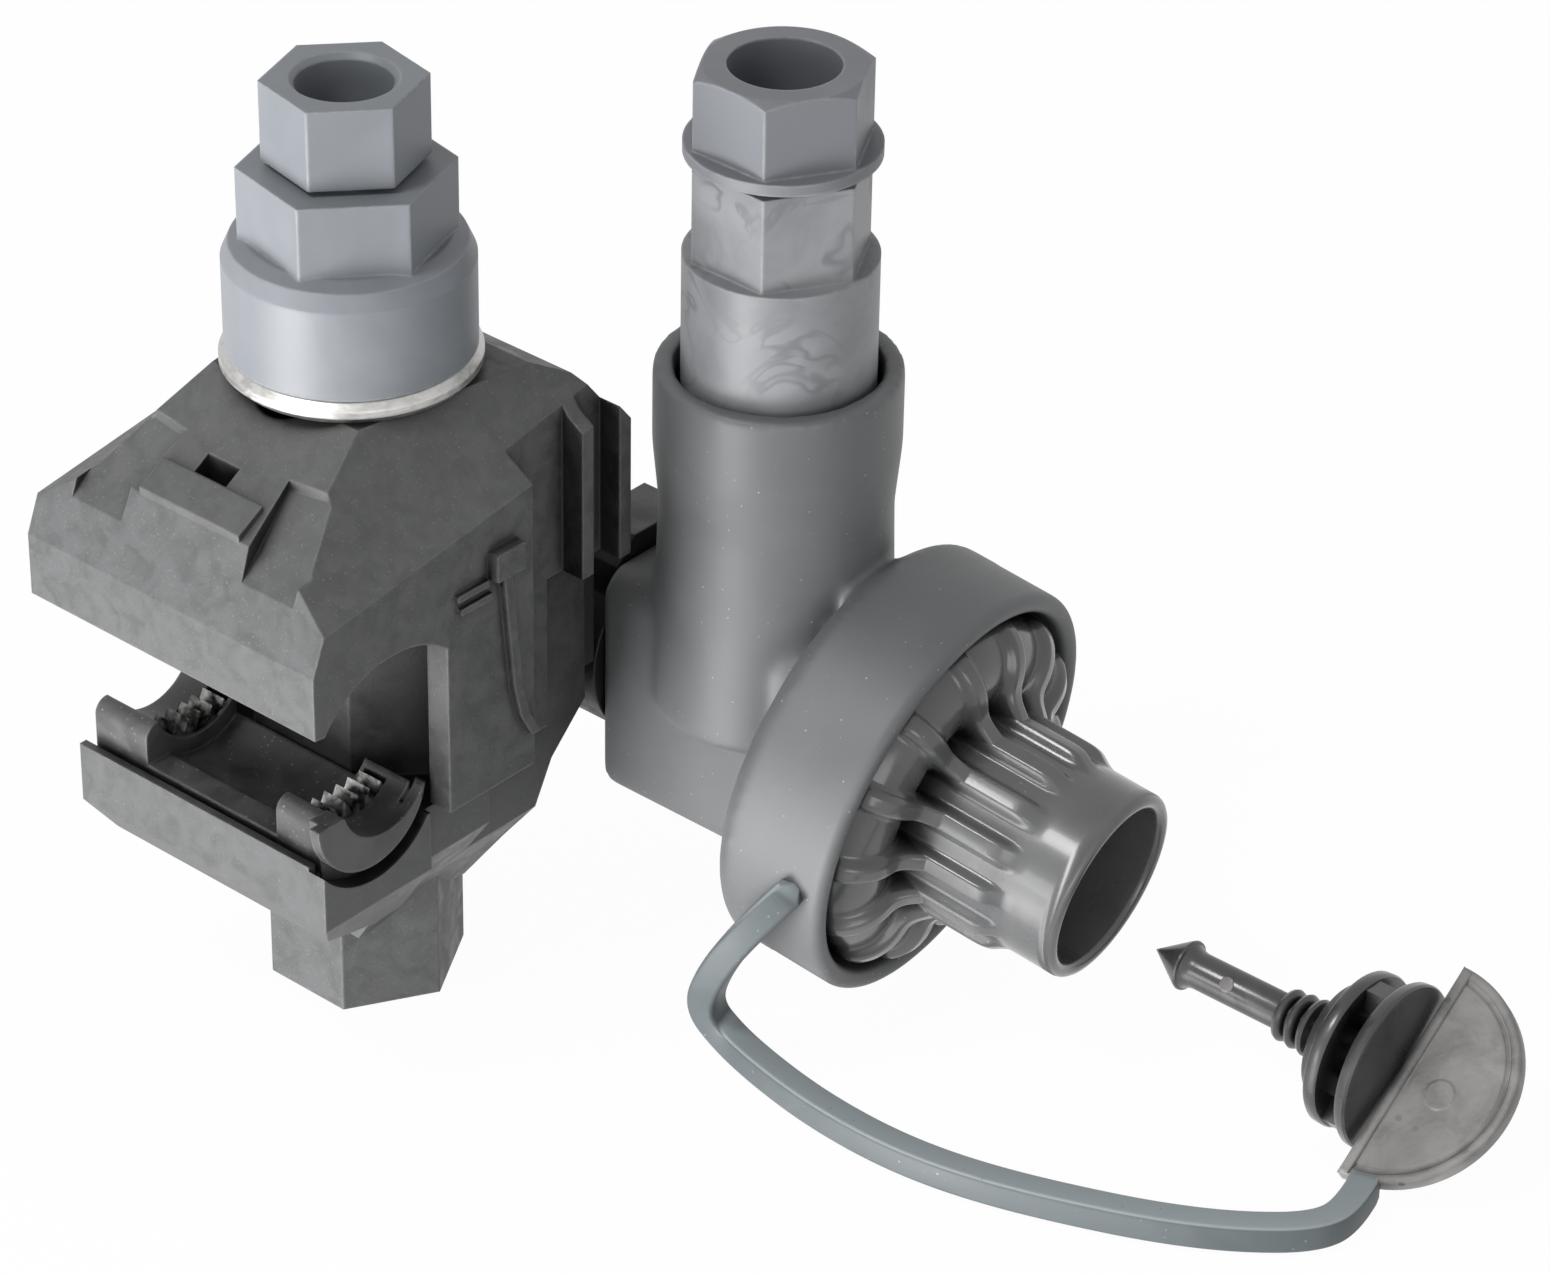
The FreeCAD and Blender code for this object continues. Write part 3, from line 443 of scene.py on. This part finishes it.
plain = []
raised = []
for degrees in range(140, -1, -5):
    plain.append(on_bulge(degrees))
    raised.append(on_bulge(degrees, RIB_RISE * eased((100 - degrees) / 45)))
for k, degrees in enumerate(range(-5, -56, -5)):
    plain.append(on_bulge(degrees))
    raised.append((BULGE_X + BULGE_R + RIB_RISE - 0.1 + 0.02 * k * k, BULGE_RING - 0.25 * (k + 1)))
valley = (21.6, TUBE_R)
elbow = (25.0, TUBE_R + RIB_RISE)
plain += between(plain[-1], valley, 4) + between(valley, (RIB_END, TUBE_R), 16)
raised += between(raised[-1], elbow, 4) + between(elbow, (RIB_END, TUBE_R + RIB_RISE), 16)
for k in range(1, 7):
    angle = math.pi / 2 * k / 6
    place = RIB_END + RIB_NOSE * math.sin(angle)
    plain.append((place, TUBE_R))
    raised.append((place, TUBE_R + RIB_RISE * math.cos(angle)))
rim = [(TUBE_END - TUBE_EDGE, TUBE_R), (TUBE_END - 0.35, TUBE_R - 0.1), (TUBE_END - 0.1, TUBE_R - 0.35),
       (TUBE_END, TUBE_R - TUBE_EDGE), (TUBE_END, BORE_R + TUBE_EDGE), (TUBE_END - 0.1, BORE_R + 0.35),
       (TUBE_END - 0.35, BORE_R + 0.1), (TUBE_END - TUBE_EDGE, BORE_R), (11.6, BORE_R), (11.6, 18.4)]
tail = between(plain[-1], (TUBE_END - TUBE_EDGE, TUBE_R), TAIL_STEPS) + rim
plain += tail
raised += tail
print("points of the profile", len(plain))

# %% [markdown]
# Corners between the bulge and the tube are melted by averaging each profile a few times, which is
# cheaper and cleaner than a bevel. A whole number on each vertex keeps its place on the profile
# through the spin.

# %% Grommet: spun and raised
RIBS = 14
RIB_PHASE = math.radians(10)
RIB_HALF = 0.62
RIB_SOFT = 0.85
STEPS_PER_RIB = 26
PLAIN_ROUNDS = 5
RAISED_ROUNDS = 9


def melted(line, rounds):
    """Average the inner points of the first part of a profile with their neighbours."""
    line = list(line)
    for _ in range(rounds):
        soft = list(line)
        for k in range(1, len(plain) - len(rim) - TAIL_STEPS):
            soft[k] = tuple((a + 2 * b + c) / 4 for a, b, c in zip(line[k - 1], line[k], line[k + 1]))
        line = soft
    return line


plain = melted(plain, PLAIN_ROUNDS)
raised = melted(raised, RAISED_ROUNDS)
grommet_form = bmesh.new()
profile_place = grommet_form.verts.layers.int.new("place")
corners = [grommet_form.verts.new((x * MM, 0, r * MM)) for x, r in plain]
for k, corner in enumerate(corners):
    corner[profile_place] = k
edges = [grommet_form.edges.new(pair) for pair in zip(corners, corners[1:])]
bmesh.ops.spin(grommet_form, geom=corners + edges, cent=(0, 0, 0), axis=(1, 0, 0), angle=math.tau,
               steps=RIBS * STEPS_PER_RIB, use_merge=True)
for vertex in grommet_form.verts:
    radius = math.hypot(vertex.co.y, vertex.co.z)
    k = vertex[profile_place]
    turn = math.atan2(-vertex.co.y, vertex.co.z) - RIB_PHASE
    off_rib = abs(math.remainder(turn, math.tau / RIBS)) * radius / MM
    share = 1 - eased((off_rib - RIB_HALF) / RIB_SOFT)
    x = plain[k][0] + (raised[k][0] - plain[k][0]) * share
    scale = (plain[k][1] + (raised[k][1] - plain[k][1]) * share) * MM / radius
    vertex.co = (x * MM, vertex.co.y * scale, vertex.co.z * scale)
grommet_form.transform(hanging)
bmesh.ops.recalc_face_normals(grommet_form, faces=grommet_form.faces)
soft_grommet = new_piece("soft_grommet", grommet_form)
soft_grommet.data.shade_smooth()
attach(soft_grommet, "lower")
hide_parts("cable_grommet")
print("grommet faces", len(soft_grommet.data.polygons))

# %% [markdown]
# A shader is a net of small nodes, and most of its lines make a node, set a number or lay a wire.
# Four helpers say each of these once, so the nets that follow read like short sums.


# %% Node helpers
def wire(tree, start, end):
    tree.links.new(start, end)


def joined(tree, kind, operation=None, **values):
    """A new node with its operation and plain input values set by socket name."""
    node = tree.nodes.new(kind)
    if operation:
        node.operation = operation
    for name, value in values.items():
        node.inputs[name.replace("_", " ")].default_value = value
    return node


def sum_of(tree, operation, first, second):
    """A Math node whose two inputs are sockets or numbers."""
    node = joined(tree, "ShaderNodeMath", operation)
    for slot, value in zip(node.inputs, (first, second)):
        if isinstance(value, (int, float)):
            slot.default_value = value
        else:
            wire(tree, value, slot)
    return node.outputs[0]


def faded(tree, value, low, high):
    """A smooth step from 0 at low to 1 at high."""
    node = tree.nodes.new("ShaderNodeMapRange")
    node.interpolation_type = "SMOOTHSTEP"
    wire(tree, value, node.inputs["Value"])
    node.inputs["From Min"].default_value = low
    node.inputs["From Max"].default_value = high
    return node.outputs[0]


# %% [markdown]
# A studio cut-out has a white ground and a soft shadow. The floor is pale, and Light Path makes it
# almost pure white to the camera and in mirrors, without putting more light on the object.

# %% Floor and world
FLOOR_DROP = 0.0002
FLOOR_WHITE = 0.97
WORLD_LIGHT = 0.48
floor_form = bmesh.new()
bmesh.ops.create_grid(floor_form, x_segments=1, y_segments=1, size=3.0)
floor = new_piece("floor", floor_form)
floor.location = (0, 0, -FLOOR_DROP)


def white_to_camera(tree, strength, other):
    """Mix a plain white emission over another shader for camera, glossy and transmission rays."""
    path = tree.nodes.new("ShaderNodeLightPath")
    direct = sum_of(tree, "MAXIMUM", path.outputs["Is Camera Ray"], path.outputs["Is Glossy Ray"])
    direct = sum_of(tree, "MAXIMUM", direct, path.outputs["Is Transmission Ray"])
    white = tree.nodes.new("ShaderNodeEmission")
    mix = tree.nodes.new("ShaderNodeMixShader")
    wire(tree, sum_of(tree, "MULTIPLY", direct, strength), mix.inputs[0])
    wire(tree, other, mix.inputs[1])
    wire(tree, white.outputs[0], mix.inputs[2])
    return mix.outputs[0]


floor_material = bpy.data.materials.new("floor_white")
floor_material.use_nodes = True
floor_tree = floor_material.node_tree
floor_shader = floor_tree.nodes["Principled BSDF"]
floor_shader.inputs["Base Color"].default_value = (0.92, 0.92, 0.92, 1)
floor_shader.inputs["Roughness"].default_value = 1.0
floor_shader.inputs["Specular IOR Level"].default_value = 0.0
wire(floor_tree, white_to_camera(floor_tree, FLOOR_WHITE, floor_shader.outputs[0]),
     floor_tree.nodes["Material Output"].inputs["Surface"])
floor.data.materials.append(floor_material)

world = bpy.data.worlds.new("studio")
bpy.context.scene.world = world
world.use_nodes = True
world_tree = world.node_tree
soft_light = world_tree.nodes["Background"]
soft_light.inputs["Color"].default_value = (1, 1, 1, 1)
soft_light.inputs["Strength"].default_value = WORLD_LIGHT
wire(world_tree, white_to_camera(world_tree, 1.0, soft_light.outputs[0]),
     world_tree.nodes["World Output"].inputs["Surface"])
print("floor white", FLOOR_WHITE, "world light", WORLD_LIGHT)

# %% [markdown]
# The photo's brightest planes face the front and the table, as on a light table whose white sheet
# glows from under the object. So one lamp stands low in front, and one shines up through the sheet,
# which therefore casts no shadow itself. A smaller lamp above gives the rubber its glints, and a weak
# one at the side fills the end faces.


# %% Lamps
def lamp(name, place, aim, size, power):
    """A large soft round lamp that looks at a place on the object."""
    data = bpy.data.lights.new(name, "AREA")
    data.shape = "DISK"
    data.size = size
    data.energy = power
    made = bpy.data.objects.new(name, data)
    toward = (Vector(place) - Vector(aim)).to_track_quat("Z", "Y")
    made.matrix_world = Matrix.Translation(Vector(place)) @ toward.to_matrix().to_4x4()
    bpy.context.scene.collection.objects.link(made)
    print(name, power, "watts")


lamp("front_lamp", (-0.22, -0.90, 0.10), (0.02, 0.01, 0.04), 0.4, 2.4)
lamp("table_lamp", (-0.10, -0.75, -0.30), (0.02, 0.0, 0.04), 0.5, 12.0)
lamp("top_lamp", (-0.10, -0.43, 0.77), (0.03, 0.02, 0.03), 0.26, 3.2)
lamp("side_lamp", (0.75, -0.45, 0.14), (0.02, 0.01, 0.04), 0.5, 1.6)
floor.visible_shadow = False

# %% [markdown]
# Several finishes share a few effects. Worn edges come from the Bevel node: where its rounded
# normal leaves the true one, there is an edge. Specks are the bright ends of glass fibre or dust.
# Mottle is slow change of tone with a faint unevenness. Each is a group, built once.


# %% Helper for groups
def new_group(name, inputs, outputs):
    """An empty shader group with float inputs and the named outputs."""
    group = bpy.data.node_groups.new(name, "ShaderNodeTree")
    print("group", name)
    for label, value in inputs:
        group.interface.new_socket(label, in_out="INPUT", socket_type="NodeSocketFloat").default_value = value
    for label, kind in outputs:
        group.interface.new_socket(label, in_out="OUTPUT", socket_type=kind)
    return group, group.nodes.new("NodeGroupInput").outputs, group.nodes.new("NodeGroupOutput").inputs


# %% [markdown]
# Edge wear reads the piece's own form, so it needs no painting. The group gives both the mask and
# the rounded normal, because a moulded edge is never quite sharp.

# %% Group: worn edges
edge_group, given, result = new_group("worn_edges", [("Radius", 0.0003), ("Roughening", 0.5)],
                                      [("Mask", "NodeSocketFloat"), ("Normal", "NodeSocketVector")])
round_normal = edge_group.nodes.new("ShaderNodeBevel")
round_normal.samples = 4
wire(edge_group, given["Radius"], round_normal.inputs["Radius"])
true_normal = edge_group.nodes.new("ShaderNodeNewGeometry")
meeting = joined(edge_group, "ShaderNodeVectorMath", "DOT_PRODUCT")
wire(edge_group, round_normal.outputs[0], meeting.inputs[0])
wire(edge_group, true_normal.outputs["True Normal"], meeting.inputs[1])
leaving = sum_of(edge_group, "SUBTRACT", 1.0, meeting.outputs["Value"])
place_of = edge_group.nodes.new("ShaderNodeTexCoord")
patches = joined(edge_group, "ShaderNodeTexNoise", Scale=900.0, Detail=3.0, Roughness=0.6)
wire(edge_group, place_of.outputs["Object"], patches.inputs["Vector"])
patchy = faded(edge_group, patches.outputs["Fac"], 0.35, 0.65)
patchy = sum_of(edge_group, "MULTIPLY", patchy, given["Roughening"])
kept = sum_of(edge_group, "SUBTRACT", 1.0, patchy)
wire(edge_group, sum_of(edge_group, "MULTIPLY", faded(edge_group, leaving, 0.02, 0.16), kept), result["Mask"])
wire(edge_group, round_normal.outputs[0], result["Normal"])

# %% [markdown]
# Specks are cells of a Voronoi pattern, of which only the centres of a few are kept. Noise would
# give clouds, where the real specks are separate points.

# %% Group: specks
speck_group, given, result = new_group("specks", [("Scale", 900.0), ("Size", 0.2), ("Share", 0.3)],
                                       [("Mask", "NodeSocketFloat")])
place_of = speck_group.nodes.new("ShaderNodeTexCoord")
cells = speck_group.nodes.new("ShaderNodeTexVoronoi")
wire(speck_group, place_of.outputs["Object"], cells.inputs["Vector"])
wire(speck_group, given["Scale"], cells.inputs["Scale"])
near = sum_of(speck_group, "LESS_THAN", cells.outputs["Distance"], given["Size"])
hue = speck_group.nodes.new("ShaderNodeSeparateColor")
wire(speck_group, cells.outputs["Color"], hue.inputs["Color"])
few = sum_of(speck_group, "LESS_THAN", hue.outputs["Red"], given["Share"])
strong = sum_of(speck_group, "MULTIPLY", few, hue.outputs["Green"])
wire(speck_group, sum_of(speck_group, "MULTIPLY", near, strong), result["Mask"])

# %% [markdown]
# Mottle gives a tone between 0 and 1 and a height for a Bump node. Two noises are mixed, a broad
# one for the flow of the moulding and a fine one for its grain.

# %% Group: mottle
mottle_group, given, result = new_group("mottle", [("Broad", 60.0), ("Fine", 1500.0), ("Stretch", 1.0)],
                                        [("Tone", "NodeSocketFloat"), ("Height", "NodeSocketFloat")])
place_of = mottle_group.nodes.new("ShaderNodeTexCoord")
pulled = mottle_group.nodes.new("ShaderNodeCombineXYZ")
pulled.inputs[0].default_value = 1.0
pulled.inputs[1].default_value = 1.0
wire(mottle_group, given["Stretch"], pulled.inputs[2])
drawn = joined(mottle_group, "ShaderNodeVectorMath", "MULTIPLY")
wire(mottle_group, place_of.outputs["Object"], drawn.inputs[0])
wire(mottle_group, pulled.outputs[0], drawn.inputs[1])
broad = joined(mottle_group, "ShaderNodeTexNoise", Detail=4.0, Roughness=0.55, Distortion=0.6)
fine = joined(mottle_group, "ShaderNodeTexNoise", Detail=2.0, Roughness=0.5)
for noise, label in ((broad, "Broad"), (fine, "Fine")):
    wire(mottle_group, drawn.outputs[0], noise.inputs["Vector"])
    wire(mottle_group, given[label], noise.inputs["Scale"])
wire(mottle_group, faded(mottle_group, broad.outputs["Fac"], 0.3, 0.7), result["Tone"])
wire(mottle_group, sum_of(mottle_group, "ADD", sum_of(mottle_group, "MULTIPLY", broad.outputs["Fac"], 0.4),
                          fine.outputs["Fac"]), result["Height"])

# %% [markdown]
# Deep places are given painted shade. An Ambient Occlusion node measures how closed in a
# place is, and a smooth step of it is the mask for a painted shade near black.

# %% Group: painted shade in recesses
painted_shade_group, given, result = new_group("recess_painted_shade", [("Reach", 0.006), ("Closed", 0.1), ("Open", 0.6)],
                                        [("Mask", "NodeSocketFloat")])
closeness = painted_shade_group.nodes.new("ShaderNodeAmbientOcclusion")
closeness.samples = 8
wire(painted_shade_group, given["Reach"], closeness.inputs["Distance"])
openness = painted_shade_group.nodes.new("ShaderNodeMapRange")
openness.interpolation_type = "SMOOTHSTEP"
wire(painted_shade_group, closeness.outputs["AO"], openness.inputs["Value"])
wire(painted_shade_group, given["Closed"], openness.inputs["From Min"])
wire(painted_shade_group, given["Open"], openness.inputs["From Max"])
wire(painted_shade_group, sum_of(painted_shade_group, "SUBTRACT", 1.0, openness.outputs[0]), result["Mask"])

# %% [markdown]
# The strap's upper side is given painted light: faces that look up get a lighter colour, a plane
# of its own tone. The normal's height tells which faces look up.

# %% Group: painted light on upper faces
top_light_group, given, result = new_group("painted_top_light", [("Low", 0.45), ("High", 0.8)],
                                       [("Mask", "NodeSocketFloat")])
facing = top_light_group.nodes.new("ShaderNodeNewGeometry")
lifted = top_light_group.nodes.new("ShaderNodeSeparateXYZ")
wire(top_light_group, facing.outputs["Normal"], lifted.inputs[0])
step = top_light_group.nodes.new("ShaderNodeMapRange")
step.interpolation_type = "SMOOTHSTEP"
wire(top_light_group, lifted.outputs["Z"], step.inputs["Value"])
wire(top_light_group, given["Low"], step.inputs["From Min"])
wire(top_light_group, given["High"], step.inputs["From Max"])
wire(top_light_group, step.outputs[0], result["Mask"])

# %% [markdown]
# The branch head is moulded from mixed stock, and dark threads swirl through its sleeve. A thread
# is where a distorted noise crosses its middle value, kept only in some patches. The upper hexagon
# is plain and a little darker, so the group also tells what is below a given height.

# %% Group: swirls
swirl_group, given, result = new_group("swirls", [("Scale", 90.0), ("Height", 0.0815)],
                                       [("Threads", "NodeSocketFloat"), ("Below", "NodeSocketFloat")])
place_of = swirl_group.nodes.new("ShaderNodeTexCoord")
flow = joined(swirl_group, "ShaderNodeTexNoise", Detail=2.5, Roughness=0.5, Distortion=1.5)
wire(swirl_group, place_of.outputs["Object"], flow.inputs["Vector"])
wire(swirl_group, given["Scale"], flow.inputs["Scale"])
off_middle = sum_of(swirl_group, "ABSOLUTE", sum_of(swirl_group, "SUBTRACT", flow.outputs["Fac"], 0.5), 0.0)
thread = sum_of(swirl_group, "SUBTRACT", 1.0, faded(swirl_group, off_middle, 0.0, 0.055))
region = joined(swirl_group, "ShaderNodeTexNoise", Scale=110.0, Detail=1.0)
wire(swirl_group, place_of.outputs["Object"], region.inputs["Vector"])
thread = sum_of(swirl_group, "MULTIPLY", thread, faded(swirl_group, region.outputs["Fac"], 0.36, 0.66))
parts_of = swirl_group.nodes.new("ShaderNodeSeparateXYZ")
wire(swirl_group, place_of.outputs["Object"], parts_of.inputs[0])
below = sum_of(swirl_group, "LESS_THAN", parts_of.outputs["Z"], given["Height"])
wire(swirl_group, sum_of(swirl_group, "MULTIPLY", thread, below), result["Threads"])
wire(swirl_group, below, result["Below"])

# %% [markdown]
# Every finish is then a short recipe: a dark and a light tone laid by the mottle, specks and worn
# edges over them, painted shade and painted light where asked, and a roughness range. The shader itself stays
# in each material.


# %% Recipe for one finish
BUMP_HEIGHT = 0.0002
COAT_ROUGHNESS = 0.12


def placed(tree, group, **values):
    node = tree.nodes.new("ShaderNodeGroup")
    node.node_tree = group
    for name, value in values.items():
        node.inputs[name].default_value = value
    return node


def mixed_colour(tree, factor, under, over):
    """Mix two colours by a mask. Each is a socket or three numbers."""
    node = tree.nodes.new("ShaderNodeMix")
    node.data_type = "RGBA"
    wire(tree, factor, node.inputs[0])
    slots = [slot for slot in node.inputs if slot.type == "RGBA"]
    for slot, value in zip(slots, (under, over)):
        if isinstance(value, tuple):
            slot.default_value = (*value, 1.0)
        else:
            wire(tree, value, slot)
    return [slot for slot in node.outputs if slot.type == "RGBA"][0]


def finish_recipe(name, dark, light, rough, broad=60.0, fine=1500.0, stretch=1.0, bump=0.1, speck=None,
                  edge=None, recess_shade=None, swirl=None, top=None, metal=0.0, coat=0.0):
    """A material of mottled tone. Optional are specks (scale, size, share, colour), worn edges
    (radius, colour), painted shade in recesses (reach, closed, open, colour), swirls (scale, height,
    thread and upper colour) and painted light, a lighter colour for the faces that look up."""
    material = bpy.data.materials.new(name)
    material.use_nodes = True
    tree = material.node_tree
    shader = tree.nodes["Principled BSDF"]
    tone = placed(tree, mottle_group, Broad=broad, Fine=fine, Stretch=stretch)
    colour = mixed_colour(tree, tone.outputs["Tone"], dark, light)
    if swirl:
        threads = placed(tree, swirl_group, Scale=swirl[0], Height=swirl[1])
        colour = mixed_colour(tree, threads.outputs["Threads"], colour, swirl[2])
        colour = mixed_colour(tree, threads.outputs["Below"], swirl[3], colour)
    # Painted light: the faces that look up get a lighter colour, as where light falls on them.
    if top:
        colour = mixed_colour(tree, placed(tree, top_light_group).outputs["Mask"], colour, top)
    if speck:
        dots = placed(tree, speck_group, Scale=speck[0], Size=speck[1], Share=speck[2])
        colour = mixed_colour(tree, dots.outputs["Mask"], colour, speck[3])
    unevenness = joined(tree, "ShaderNodeBump", Strength=bump, Distance=BUMP_HEIGHT)
    wire(tree, tone.outputs["Height"], unevenness.inputs["Height"])
    if edge:
        worn = placed(tree, edge_group, Radius=edge[0])
        colour = mixed_colour(tree, worn.outputs["Mask"], colour, edge[1])
        wire(tree, worn.outputs["Normal"], unevenness.inputs["Normal"])
    # Painted shade: closed-in places are mixed towards a dark tone by the AO mask.
    if recess_shade:
        shade_mix = placed(tree, painted_shade_group, Reach=recess_shade[0], Closed=recess_shade[1], Open=recess_shade[2])
        colour = mixed_colour(tree, shade_mix.outputs["Mask"], colour, recess_shade[3])
    span = tree.nodes.new("ShaderNodeMapRange")
    wire(tree, tone.outputs["Tone"], span.inputs["Value"])
    span.inputs["To Min"].default_value = rough[0]
    span.inputs["To Max"].default_value = rough[1]
    wire(tree, span.outputs[0], shader.inputs["Roughness"])
    wire(tree, colour, shader.inputs["Base Color"])
    wire(tree, unevenness.outputs[0], shader.inputs["Normal"])
    shader.inputs["Metallic"].default_value = metal
    shader.inputs["Coat Weight"].default_value = coat
    shader.inputs["Coat Roughness"].default_value = COAT_ROUGHNESS
    return material


# %% [markdown]
# The jaws are glass-filled nylon: near black, dusty grey where handled, lighter at every edge. The
# grey nuts are unfilled nylon, smooth with a silky light. The boot, the seals and the strap are matt
# rubber with fine dust, while the grommet and the plug are glossier and get a thin coat.

# %% Finishes
# The near-black tone and the dark grey ones given with the AO mask below are painted shade in recesses.
SHADE_TONE = (0.004, 0.004, 0.004)
finishes = {
    "black_jaw": finish_recipe("black_jaw", (0.054, 0.055, 0.056), (0.080, 0.081, 0.083), (0.42, 0.62),
                               broad=420.0, fine=3200.0, bump=0.12,
                               speck=(3200.0, 0.30, 0.26, (0.115, 0.115, 0.115)),
                               edge=(0.00035, (0.17, 0.17, 0.17)), recess_shade=(0.022, 0.42, 0.90, SHADE_TONE)),
    "grey_nut": finish_recipe("grey_nut", (0.150, 0.161, 0.177), (0.176, 0.187, 0.203), (0.44, 0.54),
                              broad=80.0, bump=0.05, edge=(0.0004, (0.33, 0.345, 0.36))),
    "grey_head": finish_recipe("grey_head", (0.166, 0.171, 0.180), (0.222, 0.227, 0.237), (0.44, 0.54),
                               broad=140.0, bump=0.06, edge=(0.0004, (0.35, 0.355, 0.365)),
                               swirl=(120.0, 0.0815, (0.128, 0.133, 0.141), (0.132, 0.139, 0.153))),
    "steel": finish_recipe("steel", (0.34, 0.34, 0.34), (0.46, 0.46, 0.46), (0.3, 0.5), metal=1.0),
    "zinc_washer": finish_recipe("zinc_washer", (0.44, 0.435, 0.42), (0.56, 0.555, 0.54), (0.34, 0.46),
                                 broad=900.0, stretch=3.0, bump=0.10, metal=1.0,
                                 edge=(0.0003, (0.72, 0.71, 0.69))),
    "black_seal": finish_recipe("black_seal", (0.042, 0.042, 0.043), (0.066, 0.066, 0.068), (0.30, 0.48),
                                broad=300.0, speck=(2200.0, 0.25, 0.25, (0.2, 0.2, 0.2)),
                                edge=(0.0004, (0.17, 0.17, 0.17)), recess_shade=(0.006, 0.15, 0.6, SHADE_TONE)),
    "tinned_blade": finish_recipe("tinned_blade", (0.025, 0.025, 0.024), (0.46, 0.46, 0.45), (0.20, 0.42),
                                  broad=650.0, bump=0.2, metal=1.0, recess_shade=(0.003, 0.1, 0.6, SHADE_TONE)),
    "aluminium_bar": finish_recipe("aluminium_bar", (0.50, 0.50, 0.51), (0.64, 0.64, 0.65), (0.3, 0.5),
                                   metal=1.0),
    "grey_boot": finish_recipe("grey_boot", (0.086, 0.089, 0.092), (0.112, 0.115, 0.118), (0.48, 0.60),
                               broad=45.0, bump=0.06, speck=(1500.0, 0.13, 0.22, (0.30, 0.30, 0.30)),
                               recess_shade=(0.005, 0.1, 0.45, (0.03, 0.03, 0.03))),
    "black_grommet": finish_recipe("black_grommet", (0.064, 0.065, 0.067), (0.086, 0.087, 0.089),
                                   (0.20, 0.32), broad=90.0, bump=0.05,
                                   speck=(1200.0, 0.12, 0.05, (0.28, 0.28, 0.28)),
                                   coat=0.3, recess_shade=(0.006, 0.2, 0.62, SHADE_TONE)),
    # The strap's lighter colour for the faces that look up is painted light.
    "grey_strap": finish_recipe("grey_strap", (0.060, 0.073, 0.078), (0.080, 0.094, 0.099), (0.5, 0.62),
                                broad=120.0, bump=0.08, top=(0.270, 0.305, 0.318),
                                speck=(1500.0, 0.17, 0.2, (0.20, 0.22, 0.23))),
    "black_plug": finish_recipe("black_plug", (0.028, 0.028, 0.029), (0.042, 0.042, 0.043), (0.22, 0.34),
                                broad=160.0, bump=0.02, coat=0.25, recess_shade=(0.005, 0.25, 0.75, SHADE_TONE)),
}
print("finishes", len(finishes))

# %% [markdown]
# The grip's face was never polished in the mould, so it is a warm mottled grey beside the glossy
# black discs. It gets its own finish, with the plug's slot.

# %% Grip finish
# The dark grey for the grip's recesses is painted shade.
grip_finish = finish_recipe("plug_grip", (0.098, 0.095, 0.093), (0.212, 0.205, 0.200), (0.38, 0.55),
                            broad=210.0, bump=0.16, speck=(560.0, 0.2, 0.22, (0.045, 0.045, 0.045)),
                            edge=(0.0003, (0.27, 0.265, 0.26)),
                            recess_shade=(0.0025, 0.2, 0.75, (0.03, 0.03, 0.03)))

# %% [markdown]
# The record names a material slot for every CAD node, and the finishes bear the same names, so a loop
# dresses the nodes. The pieces made here take the finish of the node that they stand for.

# %% Materials to pieces
slot_of = {row["node"]: row["material_slot"] for row in frame["record"]["subparts"]}
for name, node in nodes.items():
    node.data.materials.clear()
    node.data.materials.append(finishes[slot_of[name]])
for piece, finish in ((strap, "grey_strap"), (plug_body, "black_plug"), (soft_boot, "grey_boot"),
                      (soft_grommet, "black_grommet")):
    piece.data.materials.clear()
    piece.data.materials.append(finishes[finish])
plug_grip.data.materials.append(grip_finish)
print("slots in use", sorted(set(slot_of.values())))

# %% [markdown]
# The colours are plain values, so the view transform stays Standard.

# %% View
bpy.context.scene.view_settings.view_transform = "Standard"
